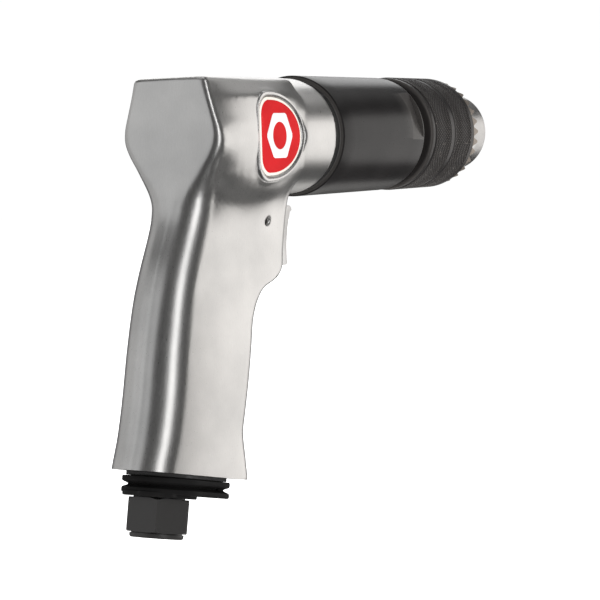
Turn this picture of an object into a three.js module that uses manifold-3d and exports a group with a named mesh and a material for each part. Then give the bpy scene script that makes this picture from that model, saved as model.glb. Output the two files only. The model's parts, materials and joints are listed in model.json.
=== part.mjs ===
// Pistol-grip air drill with a keyed chuck: a vane motor in the head drives the spindle through one
// planetary stage, and air comes in through the hexagonal bushing under the handle.
// Millimetres, +X along the spindle towards the chuck, +Y to the left, +Z up.
import * as THREE from 'three';
import { mergeVertices } from 'three/addons/utils/BufferGeometryUtils.js';
import Module from 'manifold-3d';

const wasm = await Module();
wasm.setup();

// ---- Driving dimensions ----
const GAP = 0.3;                // clearance between pieces that touch or run in each other

// Head of the housing. X = 0 is its front edge, and the spindle axis is at Z = 0.
const HEAD_LENGTH = 76;
const HEAD_TOP = 19.8;
const HEAD_HALF_WIDTH = 20;
const BACK_HALF_WIDTH = 18.9;    // of the flat back face of the head
const HANDLE_BACK_HALF_WIDTH = 11.2;
const BACK_WALL = 9.5;          // solid behind the motor
const EDGE_ROUND = 1.4;         // under the flat top
const NOSE_STEP = 1.1;          // the round nose is this much smaller in radius than the barrel
const NOSE_LENGTH = 34;
const MOTOR_BORE = 17;

// Handle
const NECK_BEHIND = 24;         // centre of the neck ahead of the back face
const NECK_DROP = 22;           // neck below the spindle axis
const NECK_HALF_WIDTH = 12;
const TRIGGER_BOSS_DROP = 44;   // underside of the boss round the trigger
const HANDLE_LENGTH = 61;       // boss underside to the bottom edge
const HANDLE_HALF_WIDTH = 15.2;
const HANDLE_LEAN = 18;         // degrees, back and down
const BASE_LEAN = 12;           // degrees, lean of the inlet axis
const BOSS_LEAN = 7;            // degrees, lean of the boss round the trigger
const BOSS_AHEAD = 32.5;        // front of that boss ahead of the neck's centre
const BASE_DROP = 3.5;          // middle of the handle's end below its nominal bottom
const GRIP_DROP = 68;           // middle of the hand below the spindle axis
const GRIP_BACK = 4;            // and behind the handle's centre line

// Barrel over the gears
const CASE_WALL = 3.9;
const BARREL_LENGTH = 70;
const GROOVE_WIDTH = 3;
const GROOVE_DEPTH = 1.7;
const SHOULDER_RADIUS = 3;
const FLAT_LENGTH = 8;          // wrench flats near the front of the barrel
const FLAT_DEPTH = 1.9;
const FLAT_TURN = 19;           // degrees, flats turned above the horizontal
const SPIGOT_LENGTH = 12.7;
const SPIGOT_WALL = 2;

// Gears
const MODULE = 0.7;
const PRESSURE_ANGLE = THREE.MathUtils.degToRad(25);
const SUN_TEETH = 12;
const PLANET_TEETH = 15;
const RING_TEETH = 42;
const ADDENDUM = 0.8;           // in modules
const DEDENDUM = 1.1;
const BACKLASH = 0.15;
const GEAR_WIDTH = 10.6;
const RING_WALL = 1.8;
const PIN_RADIUS = 1.7;

// Spindle and its bearings
const SPINDLE_RADIUS = 8.5;
const CARRIER_THICKNESS = 6;
const PIN_SEAT = 1;             // solid end of the carrier behind the pins
const BEARING_SHOULDER = 1.5;
const BEARING_WIDTH = 10;
const BEARING_RING = 2.4;
const SPACER_WALL = 1.8;
const CAP_THICKNESS = 6.2;      // with its gap to the barrel's front face
const SEAL_WALL = 2;
const THREAD_RADIUS = 6.35;
const THREAD_LENGTH = 17;
const SCREW_RADIUS = 3;
const SCREW_HEAD_RADIUS = 5;
const SCREW_HEAD_LENGTH = 4;
const NOSE_OF_SPINDLE = 0.8;    // plain end of the spindle in front of the barrel

// Air motor
const LINER_WALL = 3;           // on average: the bore is off centre
const LINER_ECCENTRICITY = 1.2;
const ROTOR_CLEARANCE = 0.4;    // to the bore on the narrow side
const SHAFT_RADIUS = 4;
const SHAFT_CLEARANCE = 0.6;    // in the end plates
const VANE_COUNT = 5;
const VANE_THICKNESS = 1;
const SLOT_FLOOR = 2.2;         // solid rotor between a vane slot and the shaft
const REAR_PLATE = 8;
const FRONT_PLATE = 9.2;
const MOTOR_BEARING_RADIUS = 8;
const MOTOR_BEARING_WIDTH = 5;
const MOTOR_BEARING_RING = 1;
const PORT_SPACING = 9;
const PORT_RADIUS = 1.8;
const PORT_SIDE = 4;            // ports to the left of the middle plane

// Trigger and throttle valve
const TRIGGER_TRAVEL = 6;
const TRIGGER_HALF_WIDTH = 7.5;
const TRIGGER_HEIGHT = 20.5;
const TRIGGER_TOP_DROP = 24;
const TRIGGER_REACH = 8.4;      // front of the paddle ahead of the boss
const TRIGGER_WALL = 3;
const LUG_HALF_WIDTH = 3.5;
const LUG_LENGTH = 26;
const LUG_HEIGHT = 12;
const LUG_BELOW_TOP = 1.5;
const PADDLE_SINK = 4;          // back of the paddle behind the boss's front
const PADDLE_WALL = 1.6;
const TRIGGER_PIN_RADIUS = 1.1;
const PIN_BEHIND = 17.2;         // trigger pin behind the boss's front
const PIN_BELOW = 4.4;          // and below the trigger's top
const PIN_END = 1.5;            // pin ends inside the sides of the boss
const VALVE_STEM_RADIUS = 1.5;
const VALVE_HEAD_RADIUS = 4;
const VALVE_CHAMBER_RADIUS = 5;
const VALVE_HEAD_LENGTH = 2;
const VALVE_SEAT_LENGTH = 6;
const VALVE_SEAT_PLAY = 1;      // air space round the stem
const VALVE_SPRING_LENGTH = 11.4;
const VALVE_SPRING_TURNS = 5;
const SPRING_WIRE = 0.4;        // radius of the wire
const SPRING_RADIUS = 2.6;

// Inlet and exhaust under the handle
const HEX_ACROSS_FLATS = 19;
const HEX_HEIGHT = 11;
const HEX_BEHIND = 9.4;         // inlet axis behind the middle of the deflector
const INLET_THREAD_RADIUS = 8.3;
const INLET_THREAD_LENGTH = 16;
const INLET_BORE = 5.7;
const INLET_STEP = 1.6;         // the bore narrows by this above the hexagon
const SCREEN_WALL = 0.7;
const SCREEN_START = 2;
const SCREEN_LENGTH = 13;
const COLLAR_RADIUS = 8.7;
const COLLAR_HEIGHT = 1.8;
const AIR_PASSAGE_RADIUS = 3.8;
const DEFLECTOR_LENGTH = 42;
const DEFLECTOR_WIDTH = 27;
const RIB_HEIGHT = 1.9;
const RIB_GROOVE = 1.6;
const RIB_INSET = 2;            // groove and ribs
const GASKET_INSET = 1.2;
const GASKET_THICKNESS = 1.1;
const BOSS_HEIGHT = 1;
const BOSS_RADIUS = 12;
const EXHAUST_RADIUS = 6.6;
const EXHAUST_DUCT_RADIUS = 2.2;
const EXHAUST_AHEAD = 6.5;      // exhaust chamber ahead of the middle of the deflector
const EXHAUST_CHAMBER = 46;     // height of that chamber in the handle
const DUCT_SIDE = 7.2;          // ducts beside the trigger's lug
const MUFFLER_START = 6;
const MUFFLER_LENGTH = 16;

// Chuck
const CHUCK_GAP = 4.4;          // barrel to sleeve
const SLEEVE_LENGTH = 43.8;
const SLEEVE_RADIUS = 21.8;
const SLEEVE_BORE = 19.8;
const CHUCK_BODY_RADIUS = 17.8;
const CHUCK_NOSE_RADIUS = 15.5;
const CHUCK_NOSE_LENGTH = 20.8;
const CHUCK_BORE = 7;
const CHUCK_HUB_RADIUS = 10;
const CHUCK_STEP = 2;           // body behind the sleeve's rear wall, and its land in front of the nut
const NOSE_ROUND = 1.6;
const KEY_TEETH = 32;
const KEY_TOOTH_DEPTH = 4;
const KEY_BEVEL = 2.4;          // the toothed face leans forwards towards the nose
const KEY_HOLE_RADIUS = 3.1;
const KEY_HOLE_AHEAD = 4.5;     // of the sleeve
const KEY_HOLE_BOTTOM = 10.5;
const JAW_ANGLE = THREE.MathUtils.degToRad(15);
const JAW_RADIUS = 2.9;
const JAW_LENGTH = 38.3;
const JAW_OPENING = 5.5;        // how far each jaw moves outwards, fully open
const JAW_PROUD = 2;            // closed jaws stand this far out of the nose
const JAW_TIP_OFFSET = 2;       // middle of a closed jaw's tip from the spindle axis
const NUT_WIDTH = 4.4;
const NUT_GROOVE = 3.1;         // depth in the chuck body
const NUT_BEHIND = 32.5;        // middle of the nut behind the nose

// Badge on each side of the head
const BADGE_BACK = 53.6;        // flat side behind the front edge
const BADGE_LENGTH = 31.6;
const BADGE_HEIGHT = 30;
const BADGE_THICKNESS = 1.2;
const BADGE_CORNER = 6.5;
const BADGE_RECESS = 0.2;       // plate below its rim
const BADGE_RIM = 1.9;
const BADGE_SINK = 0.77;        // rim face inside the widest part of the head
const BADGE_ROOT = 8;           // where the seat starts inside the head

const ROUND = 32;               // sides of a large round piece
const INNER_ROUND = 24;         // of a ring inside
const SMALL_ROUND = 18;

// ---- Sizes that follow from them ----
const deg = THREE.MathUtils.degToRad;
const ringPitch = MODULE * RING_TEETH / 2;
const sunPitch = MODULE * SUN_TEETH / 2;
const planetPitch = MODULE * PLANET_TEETH / 2;
const planetOrbit = sunPitch + planetPitch;
const ringRadius = ringPitch + DEDENDUM * MODULE + RING_WALL;
const caseBore = ringRadius + GAP;
const barrelRadius = caseBore + CASE_WALL;
const noseRadius = barrelRadius - NOSE_STEP;
const badgeSeat = Math.max(HEAD_HALF_WIDTH, noseRadius) - BADGE_SINK;
const motorRadius = MOTOR_BORE - GAP;
const motorBack = -HEAD_LENGTH + BACK_WALL;
const linerBore = motorRadius - LINER_WALL;
const rotorRadius = linerBore - LINER_ECCENTRICITY - ROTOR_CLEARANCE;
const slotBottom = SHAFT_RADIUS + SLOT_FLOOR;
const gearStart = GROOVE_WIDTH + GAP;
const gearEnd = gearStart + GEAR_WIDTH + 2 * GAP;
const carrierEnd = gearEnd + GAP + CARRIER_THICKNESS;
const sleeveStart = BARREL_LENGTH + CHUCK_GAP;
const sleeveEnd = sleeveStart + SLEEVE_LENGTH;
const noseEnd = sleeveEnd + CHUCK_NOSE_LENGTH;
const spindleEnd = BARREL_LENGTH + NOSE_OF_SPINDLE;
const jawTravel = JAW_OPENING / Math.sin(JAW_ANGLE);
const nutMiddle = noseEnd - NUT_BEHIND;
const neckX = -HEAD_LENGTH + NECK_BEHIND;
const axisAt = z => neckX + (z + NECK_DROP) * Math.tan(deg(HANDLE_LEAN));
const baseZ = -(TRIGGER_BOSS_DROP + HANDLE_LENGTH);
const bossFront = neckX + BOSS_AHEAD;
const base = new THREE.Vector3(axisAt(baseZ), 0, baseZ - BASE_DROP);
const gripMiddle = new THREE.Vector3(axisAt(-GRIP_DROP) - GRIP_BACK, 0, -GRIP_DROP);

// ---- Materials ----
function finish(color, roughness, metalness) {
  return new THREE.MeshStandardMaterial({ color, roughness, metalness });
}
const castAluminium = finish(0xcfccc8, 0.38, 0.9);
const blackSteel = finish(0x1d1c1d, 0.45, 0.7);
const satinSteel = finish(0xb9babd, 0.3, 1);
const gearSteel = finish(0x8f9296, 0.35, 1);
const springSteel = finish(0xa4a7aa, 0.35, 1);
const vaneResin = finish(0x7a4f2b, 0.7, 0);
const enamel = finish(0xc31217, 0.25, 0);
const blackRubber = finish(0x161616, 0.8, 0);
const greyFelt = finish(0x77746c, 0.95, 0);
const brass = finish(0xb08d4a, 0.35, 1);

// ---- Solids ----
function signedVolume(position, index) {
  const [a, b, c] = [new THREE.Vector3(), new THREE.Vector3(), new THREE.Vector3()];
  let sum = 0;
  for (let i = 0; i < index.length; i += 3) {
    a.fromArray(position, index[i] * 3);
    b.fromArray(position, index[i + 1] * 3);
    c.fromArray(position, index[i + 2] * 3);
    sum += a.dot(b.cross(c)) / 6;
  }
  return sum;
}

// A closed geometry as a solid with its faces pointing out.
function solid(geometry) {
  geometry.deleteAttribute('normal');
  geometry.deleteAttribute('uv');
  const merged = mergeVertices(geometry, 1e-4);
  const position = new Float32Array(merged.getAttribute('position').array);
  const index = new Uint32Array(merged.index.array);
  if (signedVolume(position, index) < 0) {
    for (let i = 0; i < index.length; i += 3) [index[i], index[i + 1]] = [index[i + 1], index[i]];
  }
  return new wasm.Manifold(new wasm.Mesh({ numProp: 3, vertProperties: position, triVerts: index }));
}

function toGeometry(body) {
  const mesh = body.getMesh();
  const geometry = new THREE.BufferGeometry();
  geometry.setAttribute('position', new THREE.BufferAttribute(new Float32Array(mesh.vertProperties), 3));
  geometry.setIndex(new THREE.BufferAttribute(new Uint32Array(mesh.triVerts), 1));
  geometry.computeVertexNormals();
  return geometry;
}

const union = bodies => bodies.reduce((sum, body) => sum.add(body));
const cut = (body, ...tools) => tools.reduce((left, tool) => left.subtract(tool), body);

// A turned piece about the X axis. Each point is [x, radius]; the profile closes on itself.
function turned(points, sides = ROUND) {
  const profile = points.map(([x, r]) => new THREE.Vector2(r, x));
  if (points[0][1] > 0) profile.push(profile[0].clone());
  return solid(new THREE.LatheGeometry(profile, sides).rotateZ(-Math.PI / 2));
}

const rod = (x0, x1, r, sides = SMALL_ROUND) => turned([[x0, 0], [x0, r], [x1, r], [x1, 0]], sides);
const tube = (x0, x1, outer, inner, sides = INNER_ROUND) =>
  turned([[x0, inner], [x0, outer], [x1, outer], [x1, inner]], sides);

function box(x, y, z) {
  const geometry = new THREE.BoxGeometry(x[1] - x[0], y[1] - y[0], z[1] - z[0]);
  return solid(geometry.translate((x[0] + x[1]) / 2, (y[0] + y[1]) / 2, (z[0] + z[1]) / 2));
}

// A cylinder between two points.
function bar(from, to, r, sides = SMALL_ROUND) {
  const along = new THREE.Vector3().subVectors(to, from);
  const geometry = new THREE.CylinderGeometry(r, r, along.length(), sides);
  const upright = new THREE.Vector3(0, 1, 0);
  const turn = new THREE.Quaternion().setFromUnitVectors(upright, along.clone().normalize());
  geometry.applyQuaternion(turn).translate(...from.clone().addScaledVector(along, 0.5).toArray());
  return solid(geometry);
}

// An outline in the XZ plane, extruded to both sides of the middle plane.
function slab(outline, y0, y1, bevel = 0) {
  const shape = new THREE.Shape(outline.map(([x, z]) => new THREE.Vector2(x, z)));
  const options = {
    depth: y1 - y0 - 2 * bevel, bevelEnabled: bevel > 0, bevelSize: bevel, bevelThickness: bevel,
    bevelOffset: -bevel, bevelSegments: 2,
  };
  const geometry = new THREE.ExtrudeGeometry(shape, options);
  return solid(geometry.rotateX(Math.PI / 2).translate(0, y1 - bevel, 0));
}

// A gear-like outline, extruded along X from x0 to x1.
function extrudedX(outline, x0, x1, holes = []) {
  const shape = new THREE.Shape(outline.map(([y, z]) => new THREE.Vector2(y, z)));
  for (const hole of holes) shape.holes.push(new THREE.Path(hole.map(([y, z]) => new THREE.Vector2(y, z))));
  const geometry = new THREE.ExtrudeGeometry(shape, { depth: x1 - x0, bevelEnabled: false });
  const turn = new THREE.Matrix4().makeBasis(
    new THREE.Vector3(0, 1, 0), new THREE.Vector3(0, 0, 1), new THREE.Vector3(1, 0, 0));
  return solid(geometry.applyMatrix4(turn).translate(x0, 0, 0));
}

function circle(r, sides, turn = 0) {
  return Array.from({ length: sides }, (_, i) => {
    const angle = turn + 2 * Math.PI * i / sides;
    return [r * Math.cos(angle), r * Math.sin(angle)];
  });
}

const transformed = (body, matrix) => solid(toGeometry(body).applyMatrix4(matrix));
const turnX = (body, angle) => transformed(body, new THREE.Matrix4().makeRotationX(angle));

// ---- Scene ----
const group = new THREE.Group();
const tool = new THREE.Group();         // spindle frame, moved so that the origin is in the hand
tool.position.copy(gripMiddle).negate();
group.add(tool);
const foot = new THREE.Group();         // leaning frame of the pieces under the handle
foot.position.copy(base);
foot.rotation.y = deg(BASE_LEAN);
tool.add(foot);
foot.updateMatrix();

function add(name, body, material, parent = tool) {
  const mesh = new THREE.Mesh(toGeometry(body), material);
  mesh.name = name;
  parent.add(mesh);
  return mesh;
}

// ---- Housing ----
// A smooth value through [height, value] points, highest first.
function profile(points) {
  const slopes = points.map((point, i) => {
    const [before, after] = [points[Math.max(i - 1, 0)], points[Math.min(i + 1, points.length - 1)]];
    return (after[1] - before[1]) / (after[0] - before[0]);
  });
  return z => {
    let i = points.findIndex((point, n) => n > 0 && z >= point[0]);
    if (i < 0) i = points.length - 1;
    const [[z0, v0], [z1, v1]] = [points[i - 1], points[i]];
    const span = z1 - z0;
    const t = THREE.MathUtils.clamp((z - z0) / span, 0, 1.6);
    const [t2, t3] = [t * t, t * t * t];
    return v0 * (2 * t3 - 3 * t2 + 1) + slopes[i - 1] * span * (t3 - 2 * t2 + t)
      + v1 * (3 * t2 - 2 * t3) + slopes[i] * span * (t3 - t2);
  };
}

const down = share => -(TRIGGER_BOSS_DROP + share * HANDLE_LENGTH);
const lowest = down(1.14);

// Back and front of the handle, measured from its leaning centre line
const handleBack = profile([
  [-NECK_DROP, -24.2], [-32.6, -25.3], [down(-0.06), -26.2], [down(0.12), -27.2], [down(0.37), -26.7],
  [down(0.62), -25.2], [down(0.82), -24.9], [down(0.94), -25.7], [down(1.02), -26], [lowest, -26],
]);
const handleFront = profile([
  [down(0), 36.8], [down(0.03), 36.2], [down(0.07), 33], [down(0.105), 25.9], [down(0.145), 23.2],
  [down(0.185), 21.5], [down(0.27), 20], [down(0.4), 20.3], [down(0.62), 21.1], [down(0.75), 21.4],
  [down(0.87), 21.6], [down(1), 24.7], [lowest, 28.2],
]);
const frontWidth = profile([
  [HEAD_TOP, BACK_HALF_WIDTH * 0.7], [14, BACK_HALF_WIDTH * 0.84], [8, HEAD_HALF_WIDTH * 0.93],
  [1, HEAD_HALF_WIDTH], [-5, HEAD_HALF_WIDTH * 0.97], [-10, HEAD_HALF_WIDTH * 0.86],
  [-15, HEAD_HALF_WIDTH * 0.72], [-20, NECK_HALF_WIDTH + 1], [-26, NECK_HALF_WIDTH + 0.2],
  [-36, NECK_HALF_WIDTH], [down(0), NECK_HALF_WIDTH + 0.6], [down(0.25), HANDLE_HALF_WIDTH - 1],
  [down(0.5), HANDLE_HALF_WIDTH - 0.2], [down(0.8), HANDLE_HALF_WIDTH], [lowest, HANDLE_HALF_WIDTH + 0.6],
]);
const backWidth = profile([
  [HEAD_TOP, BACK_HALF_WIDTH * 0.73], [14, BACK_HALF_WIDTH * 0.8], [8, BACK_HALF_WIDTH * 0.895],
  [3, BACK_HALF_WIDTH * 0.98], [-1, BACK_HALF_WIDTH], [-5, BACK_HALF_WIDTH * 0.935],
  [-11, BACK_HALF_WIDTH * 0.775], [-20, HANDLE_BACK_HALF_WIDTH], [-26, HANDLE_BACK_HALF_WIDTH - 0.6],
  [down(0), HANDLE_BACK_HALF_WIDTH - 0.5], [down(0.35), HANDLE_BACK_HALF_WIDTH - 0.4],
  [down(0.65), HANDLE_BACK_HALF_WIDTH - 0.2], [lowest, HANDLE_BACK_HALF_WIDTH - 0.5],
]);
const backCorner = profile([
  [HEAD_TOP, 1.6], [8, 1.9], [-1, 3.2], [-11, 5], [-20, 7.5], [-36, 7.6], [down(0.12), 7],
  [down(0.62), 8], [lowest, 8.4],
]);

// Everything that one level section of the housing needs.
function section(z) {
  const inHead = z > -NECK_DROP;
  const edge = Math.max(0, 1 - (HEAD_TOP - z) / EDGE_ROUND);
  const inset = EDGE_ROUND * (1 - Math.sqrt(1 - edge * edge));
  const headFront = z > 8 ? -12 - (z - 8) * 0.5 : -12;
  const bossX = bossFront + (z + NECK_DROP) * Math.tan(deg(BOSS_LEAN));
  let front = z > -TRIGGER_BOSS_DROP ? bossX : axisAt(z) + handleFront(z);
  const rise = THREE.MathUtils.smoothstep(z, -NECK_DROP, -9);
  if (inHead) front = THREE.MathUtils.lerp(bossX, headFront, rise) - inset;
  return {
    back: (inHead ? -HEAD_LENGTH : axisAt(z) + handleBack(z)) + inset, front,
    backHalf: backWidth(z) - inset, frontHalf: frontWidth(z) - inset,
    backRound: backCorner(z),
    frontRound: THREE.MathUtils.lerp(5, 9, THREE.MathUtils.smoothstep(-z, NECK_DROP, TRIGGER_BOSS_DROP + 16)),
  };
}

// The closed outline of a section: four round corners and slightly crowned sides.
function sectionOutline({ back, front, backHalf, frontHalf, backRound, frontRound }) {
  const corners = [[back, -backHalf, backRound], [front, -frontHalf, frontRound],
    [front, frontHalf, frontRound], [back, backHalf, backRound]];
  const steps = 4;
  const sideSteps = 2;
  const points = [];
  corners.forEach(([x, y, r], i) => {
    const [before, after] = [corners[(i + 3) % 4], corners[(i + 1) % 4]];
    const corner = new THREE.Vector2(x, y);
    const toBefore = new THREE.Vector2(before[0] - x, before[1] - y).normalize();
    const toAfter = new THREE.Vector2(after[0] - x, after[1] - y).normalize();
    for (let n = 0; n <= steps; n++) {
      const angle = n / steps * Math.PI / 2;
      points.push(corner.clone().addScaledVector(toBefore, r * (1 - Math.sin(angle)))
        .addScaledVector(toAfter, r * (1 - Math.cos(angle))));
    }
    const start = points.at(-1);
    const end = new THREE.Vector2(after[0], after[1]).addScaledVector(toAfter, -after[2]);
    const out = new THREE.Vector2(toAfter.y, -toAfter.x);
    const crown = i === 0 || i === 2 ? 0.5 : 0.3;
    for (let n = 1; n < sideSteps; n++) {
      const t = n / sideSteps;
      points.push(start.clone().lerp(end, t).addScaledVector(out, crown * 4 * t * (1 - t)));
    }
  });
  return points;
}

// Sections stacked from the bottom up, closed by flat ends.
function lofted(heights) {
  const rings = heights.map(z => sectionOutline(section(z)).map(p => [p.x, p.y, z]));
  const count = rings[0].length;
  const position = rings.flat(2);
  const index = [];
  for (let k = 0; k < rings.length - 1; k++) {
    for (let i = 0; i < count; i++) {
      const [a, b] = [k * count + i, k * count + (i + 1) % count];
      index.push(a, b, b + count, a, b + count, a + count);
    }
  }
  const top = (rings.length - 1) * count;
  for (let i = 1; i < count - 1; i++) {
    index.push(0, i + 1, i, top, top + i, top + i + 1);
  }
  const geometry = new THREE.BufferGeometry();
  geometry.setAttribute('position', new THREE.Float32BufferAttribute(position, 3));
  geometry.setIndex(index);
  return solid(geometry);
}

// A D-shaped badge outline: flat towards the back, round towards the front.
function badgeOutline(inset) {
  const half = BADGE_HEIGHT / 2 - inset;
  const back = -BADGE_BACK + inset;
  const front = -BADGE_BACK + BADGE_LENGTH - inset;
  const corner = BADGE_CORNER - inset * 0.5;
  const points = [];
  const bow = (cx, cz, rx, rz, from, to, steps) => {
    for (let n = 0; n <= steps; n++) {
      const angle = deg(from + (to - from) * n / steps);
      points.push([cx + rx * Math.cos(angle), cz + rz * Math.sin(angle)]);
    }
  };
  bow(back + corner, -half + corner, corner, corner, 180, 270, 5);
  bow(back + corner + 1, 0, front - back - corner - 1, half, -84, 84, 14);
  bow(back + corner, half - corner, corner, corner, 90, 180, 5);
  return points;
}

// A slab of that outline between two distances from the middle plane.
const badgeSlab = (inset, from, to) => slab(badgeOutline(inset), Math.min(from, to), Math.max(from, to));

const pinHole = new THREE.Vector3(bossFront - PIN_BEHIND, 0, -TRIGGER_TOP_DROP - PIN_BELOW);
const lugZ = -TRIGGER_TOP_DROP - LUG_BELOW_TOP - LUG_HEIGHT / 2;
const paddleBack = bossFront - PADDLE_SINK;
const lugBack = bossFront + TRIGGER_REACH - TRIGGER_WALL - PADDLE_SINK - LUG_LENGTH;
const chamberFront = lugBack - TRIGGER_TRAVEL - GAP;
const valveHeadX = chamberFront - VALVE_SEAT_LENGTH - GAP;
const chamberBack = valveHeadX - VALVE_HEAD_LENGTH - VALVE_SPRING_LENGTH - GAP;
const inletX = -HEX_BEHIND;
const footMatrix = foot.matrix.clone();
const valveAxis = (from, to, r, sides) =>
  bar(new THREE.Vector3(from, 0, lugZ), new THREE.Vector3(to, 0, lugZ), r, sides);
const inFoot = (x, y, z) => new THREE.Vector3(x, y, z).applyMatrix4(footMatrix);

function makeHousing() {
  const edgeHeights = [0, 0.2, 0.6, 1].map(share => HEAD_TOP - share * EDGE_ROUND);
  const headHeights = [...edgeHeights, 13, 7, 2, -2, -6, -10, -14, -18];
  const neckHeights = [-21, -NECK_DROP - 3, -32, -40];
  const shares = [0, 0.03, 0.065, 0.1, 0.14, 0.185, 0.25, 0.38, 0.56, 0.74, 0.88, 1, 1.14];
  const heights = [...headHeights, ...neckHeights, ...shares.map(down)].reverse();
  const chamfer = 0.6;
  const nose = turned([
    [-NOSE_LENGTH, 0], [-NOSE_LENGTH, noseRadius], [-chamfer, noseRadius], [0, noseRadius - chamfer], [0, 0],
  ]);
  const seats = [-1, 1].map(side => badgeSlab(0, side * BADGE_ROOT, side * badgeSeat));
  let body = union([lofted(heights), nose, ...seats]);
  const underFoot = transformed(box([-90, 90], [-40, 40], [-60, 0]), footMatrix);
  const passageRise = (lugZ - inFoot(inletX, 0, 0).z) / Math.cos(deg(BASE_LEAN));
  const exhaustTop = inFoot(EXHAUST_AHEAD, 0, EXHAUST_CHAMBER);
  const pocketBottom = -TRIGGER_TOP_DROP - TRIGGER_HEIGHT - GAP;
  const lugSide = LUG_HALF_WIDTH + GAP;
  body = cut(body, underFoot,
    rod(motorBack, 1, MOTOR_BORE, ROUND),
    box([paddleBack - TRIGGER_TRAVEL - GAP, 0], [-TRIGGER_HALF_WIDTH - GAP, TRIGGER_HALF_WIDTH + GAP],
      [pocketBottom, -TRIGGER_TOP_DROP + GAP]),
    box([chamberFront, 0], [-lugSide, lugSide], [lugZ - LUG_HEIGHT / 2 - GAP, lugZ + LUG_HEIGHT / 2 + GAP]),
    valveAxis(chamberBack, chamberFront + 1, VALVE_CHAMBER_RADIUS),
    bar(inFoot(inletX, 0, -1), inFoot(inletX, 0, INLET_THREAD_LENGTH + 2), INLET_THREAD_RADIUS + GAP),
    bar(inFoot(inletX, 0, 10), inFoot(inletX, 0, passageRise), AIR_PASSAGE_RADIUS, 16),
    bar(inFoot(EXHAUST_AHEAD, 0, -1), exhaustTop, EXHAUST_RADIUS + GAP),
    bar(pinHole.clone().setY(-30), pinHole.clone().setY(30), TRIGGER_PIN_RADIUS + GAP, 16),
  );
  for (const side of [-1, 1]) {
    const from = new THREE.Vector3(bossFront - 20, side * DUCT_SIDE, -MOTOR_BORE + 5);
    const to = exhaustTop.clone().add(new THREE.Vector3(0, side * 4.5, -2));
    const floor = side * (badgeSeat - BADGE_THICKNESS - GAP);
    const recess = badgeSlab(BADGE_RIM - GAP, floor, side * (badgeSeat + 4));
    body = cut(body, bar(from, to, EXHAUST_DUCT_RADIUS, 12), recess);
  }
  return body;
}

// ---- Gears ----
const involute = angle => Math.tan(angle) - angle;

// Outline of a gear with a tooth centred on +Z. For a ring this is the shape of its hole.
function gearOutline(teeth, root, tip, thickness, turn = 0) {
  const pitch = MODULE * teeth / 2;
  const baseCircle = pitch * Math.cos(PRESSURE_ANGLE);
  const halfAngle = r => thickness / (2 * pitch) + involute(PRESSURE_ANGLE)
    - involute(Math.acos(Math.min(1, baseCircle / r)));
  const start = Math.max(root, baseCircle);
  const flank = [start, tip].map(r => [r, halfAngle(r)]);
  if (root < baseCircle) flank.unshift([root, halfAngle(start)]);
  const points = [];
  for (let n = 0; n < teeth; n++) {
    const centre = turn + 2 * Math.PI * n / teeth;
    const left = flank.map(([r, a]) => [r, centre - a]);
    const tooth = [...left, ...flank.toReversed().map(([r, a]) => [r, centre + a])];
    points.push(...tooth.map(([r, a]) => [-r * Math.sin(a), r * Math.cos(a)]));
  }
  return points;
}

const toothWidth = Math.PI * MODULE / 2 - BACKLASH;
const outsideGear = (teeth, turn) => gearOutline(teeth, MODULE * (teeth / 2 - DEDENDUM),
  MODULE * (teeth / 2 + ADDENDUM), toothWidth, turn);
const planetAngles = [0, 1, 2].map(n => 2 * Math.PI * n / 3);
const around = (angle, r) => [-r * Math.sin(angle), r * Math.cos(angle)];
const bearingSeat = carrierEnd + 2;

// A bar on the axis of the planet at that angle.
function pinBar(angle, from, to, radius) {
  const [y, z] = around(angle, planetOrbit);
  return bar(new THREE.Vector3(from, y, z), new THREE.Vector3(to, y, z), radius, 16);
}

function makeRingGear() {
  const root = MODULE * (RING_TEETH / 2 + DEDENDUM);
  const tip = MODULE * (RING_TEETH / 2 - ADDENDUM);
  const space = gearOutline(RING_TEETH, tip, root, Math.PI * MODULE / 2 + BACKLASH);
  return extrudedX(circle(ringRadius, ROUND), gearStart, gearEnd, [space]);
}

function makePlanet(angle) {
  const [y, z] = around(angle, planetOrbit);
  const outline = outsideGear(PLANET_TEETH, angle).map(([u, v]) => [u + y, v + z]);
  const hole = circle(PIN_RADIUS + GAP, 16).map(([u, v]) => [u + y, v + z]);
  return extrudedX(outline, gearStart + GAP, gearEnd - GAP, [hole]);
}

function makeSpindle() {
  const neckRadius = SPINDLE_RADIUS - 0.5;
  const shoulder = SPINDLE_RADIUS + BEARING_SHOULDER;
  const carrier = MODULE * (RING_TEETH / 2 - ADDENDUM) - GAP;
  const body = turned([
    [gearEnd + GAP, 0], [gearEnd + GAP, carrier], [carrierEnd, carrier], [carrierEnd, shoulder],
    [bearingSeat, shoulder], [bearingSeat, SPINDLE_RADIUS], [BARREL_LENGTH - 6, SPINDLE_RADIUS],
    [BARREL_LENGTH - 6, neckRadius], [spindleEnd, neckRadius], [spindleEnd, THREAD_RADIUS],
    [spindleEnd + THREAD_LENGTH, THREAD_RADIUS], [spindleEnd + THREAD_LENGTH, 0],
  ]);
  const pinFloor = carrierEnd - PIN_SEAT;
  const holes = planetAngles.map(angle => pinBar(angle, gearEnd - 1, pinFloor, PIN_RADIUS + GAP));
  return cut(body, ...holes, rod(BARREL_LENGTH + 4, BARREL_LENGTH + THREAD_LENGTH + 2, SCREW_RADIUS + GAP));
}

// ---- Build: housing, badges and barrel ----
add('motor_housing', makeHousing(), castAluminium);
for (const [name, side] of [['badge_right', -1], ['badge_left', 1]]) {
  const plate = badgeSlab(BADGE_RIM, side * (badgeSeat - BADGE_THICKNESS), side * (badgeSeat - BADGE_RECESS));
  add(name, plate, enamel);
}

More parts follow.
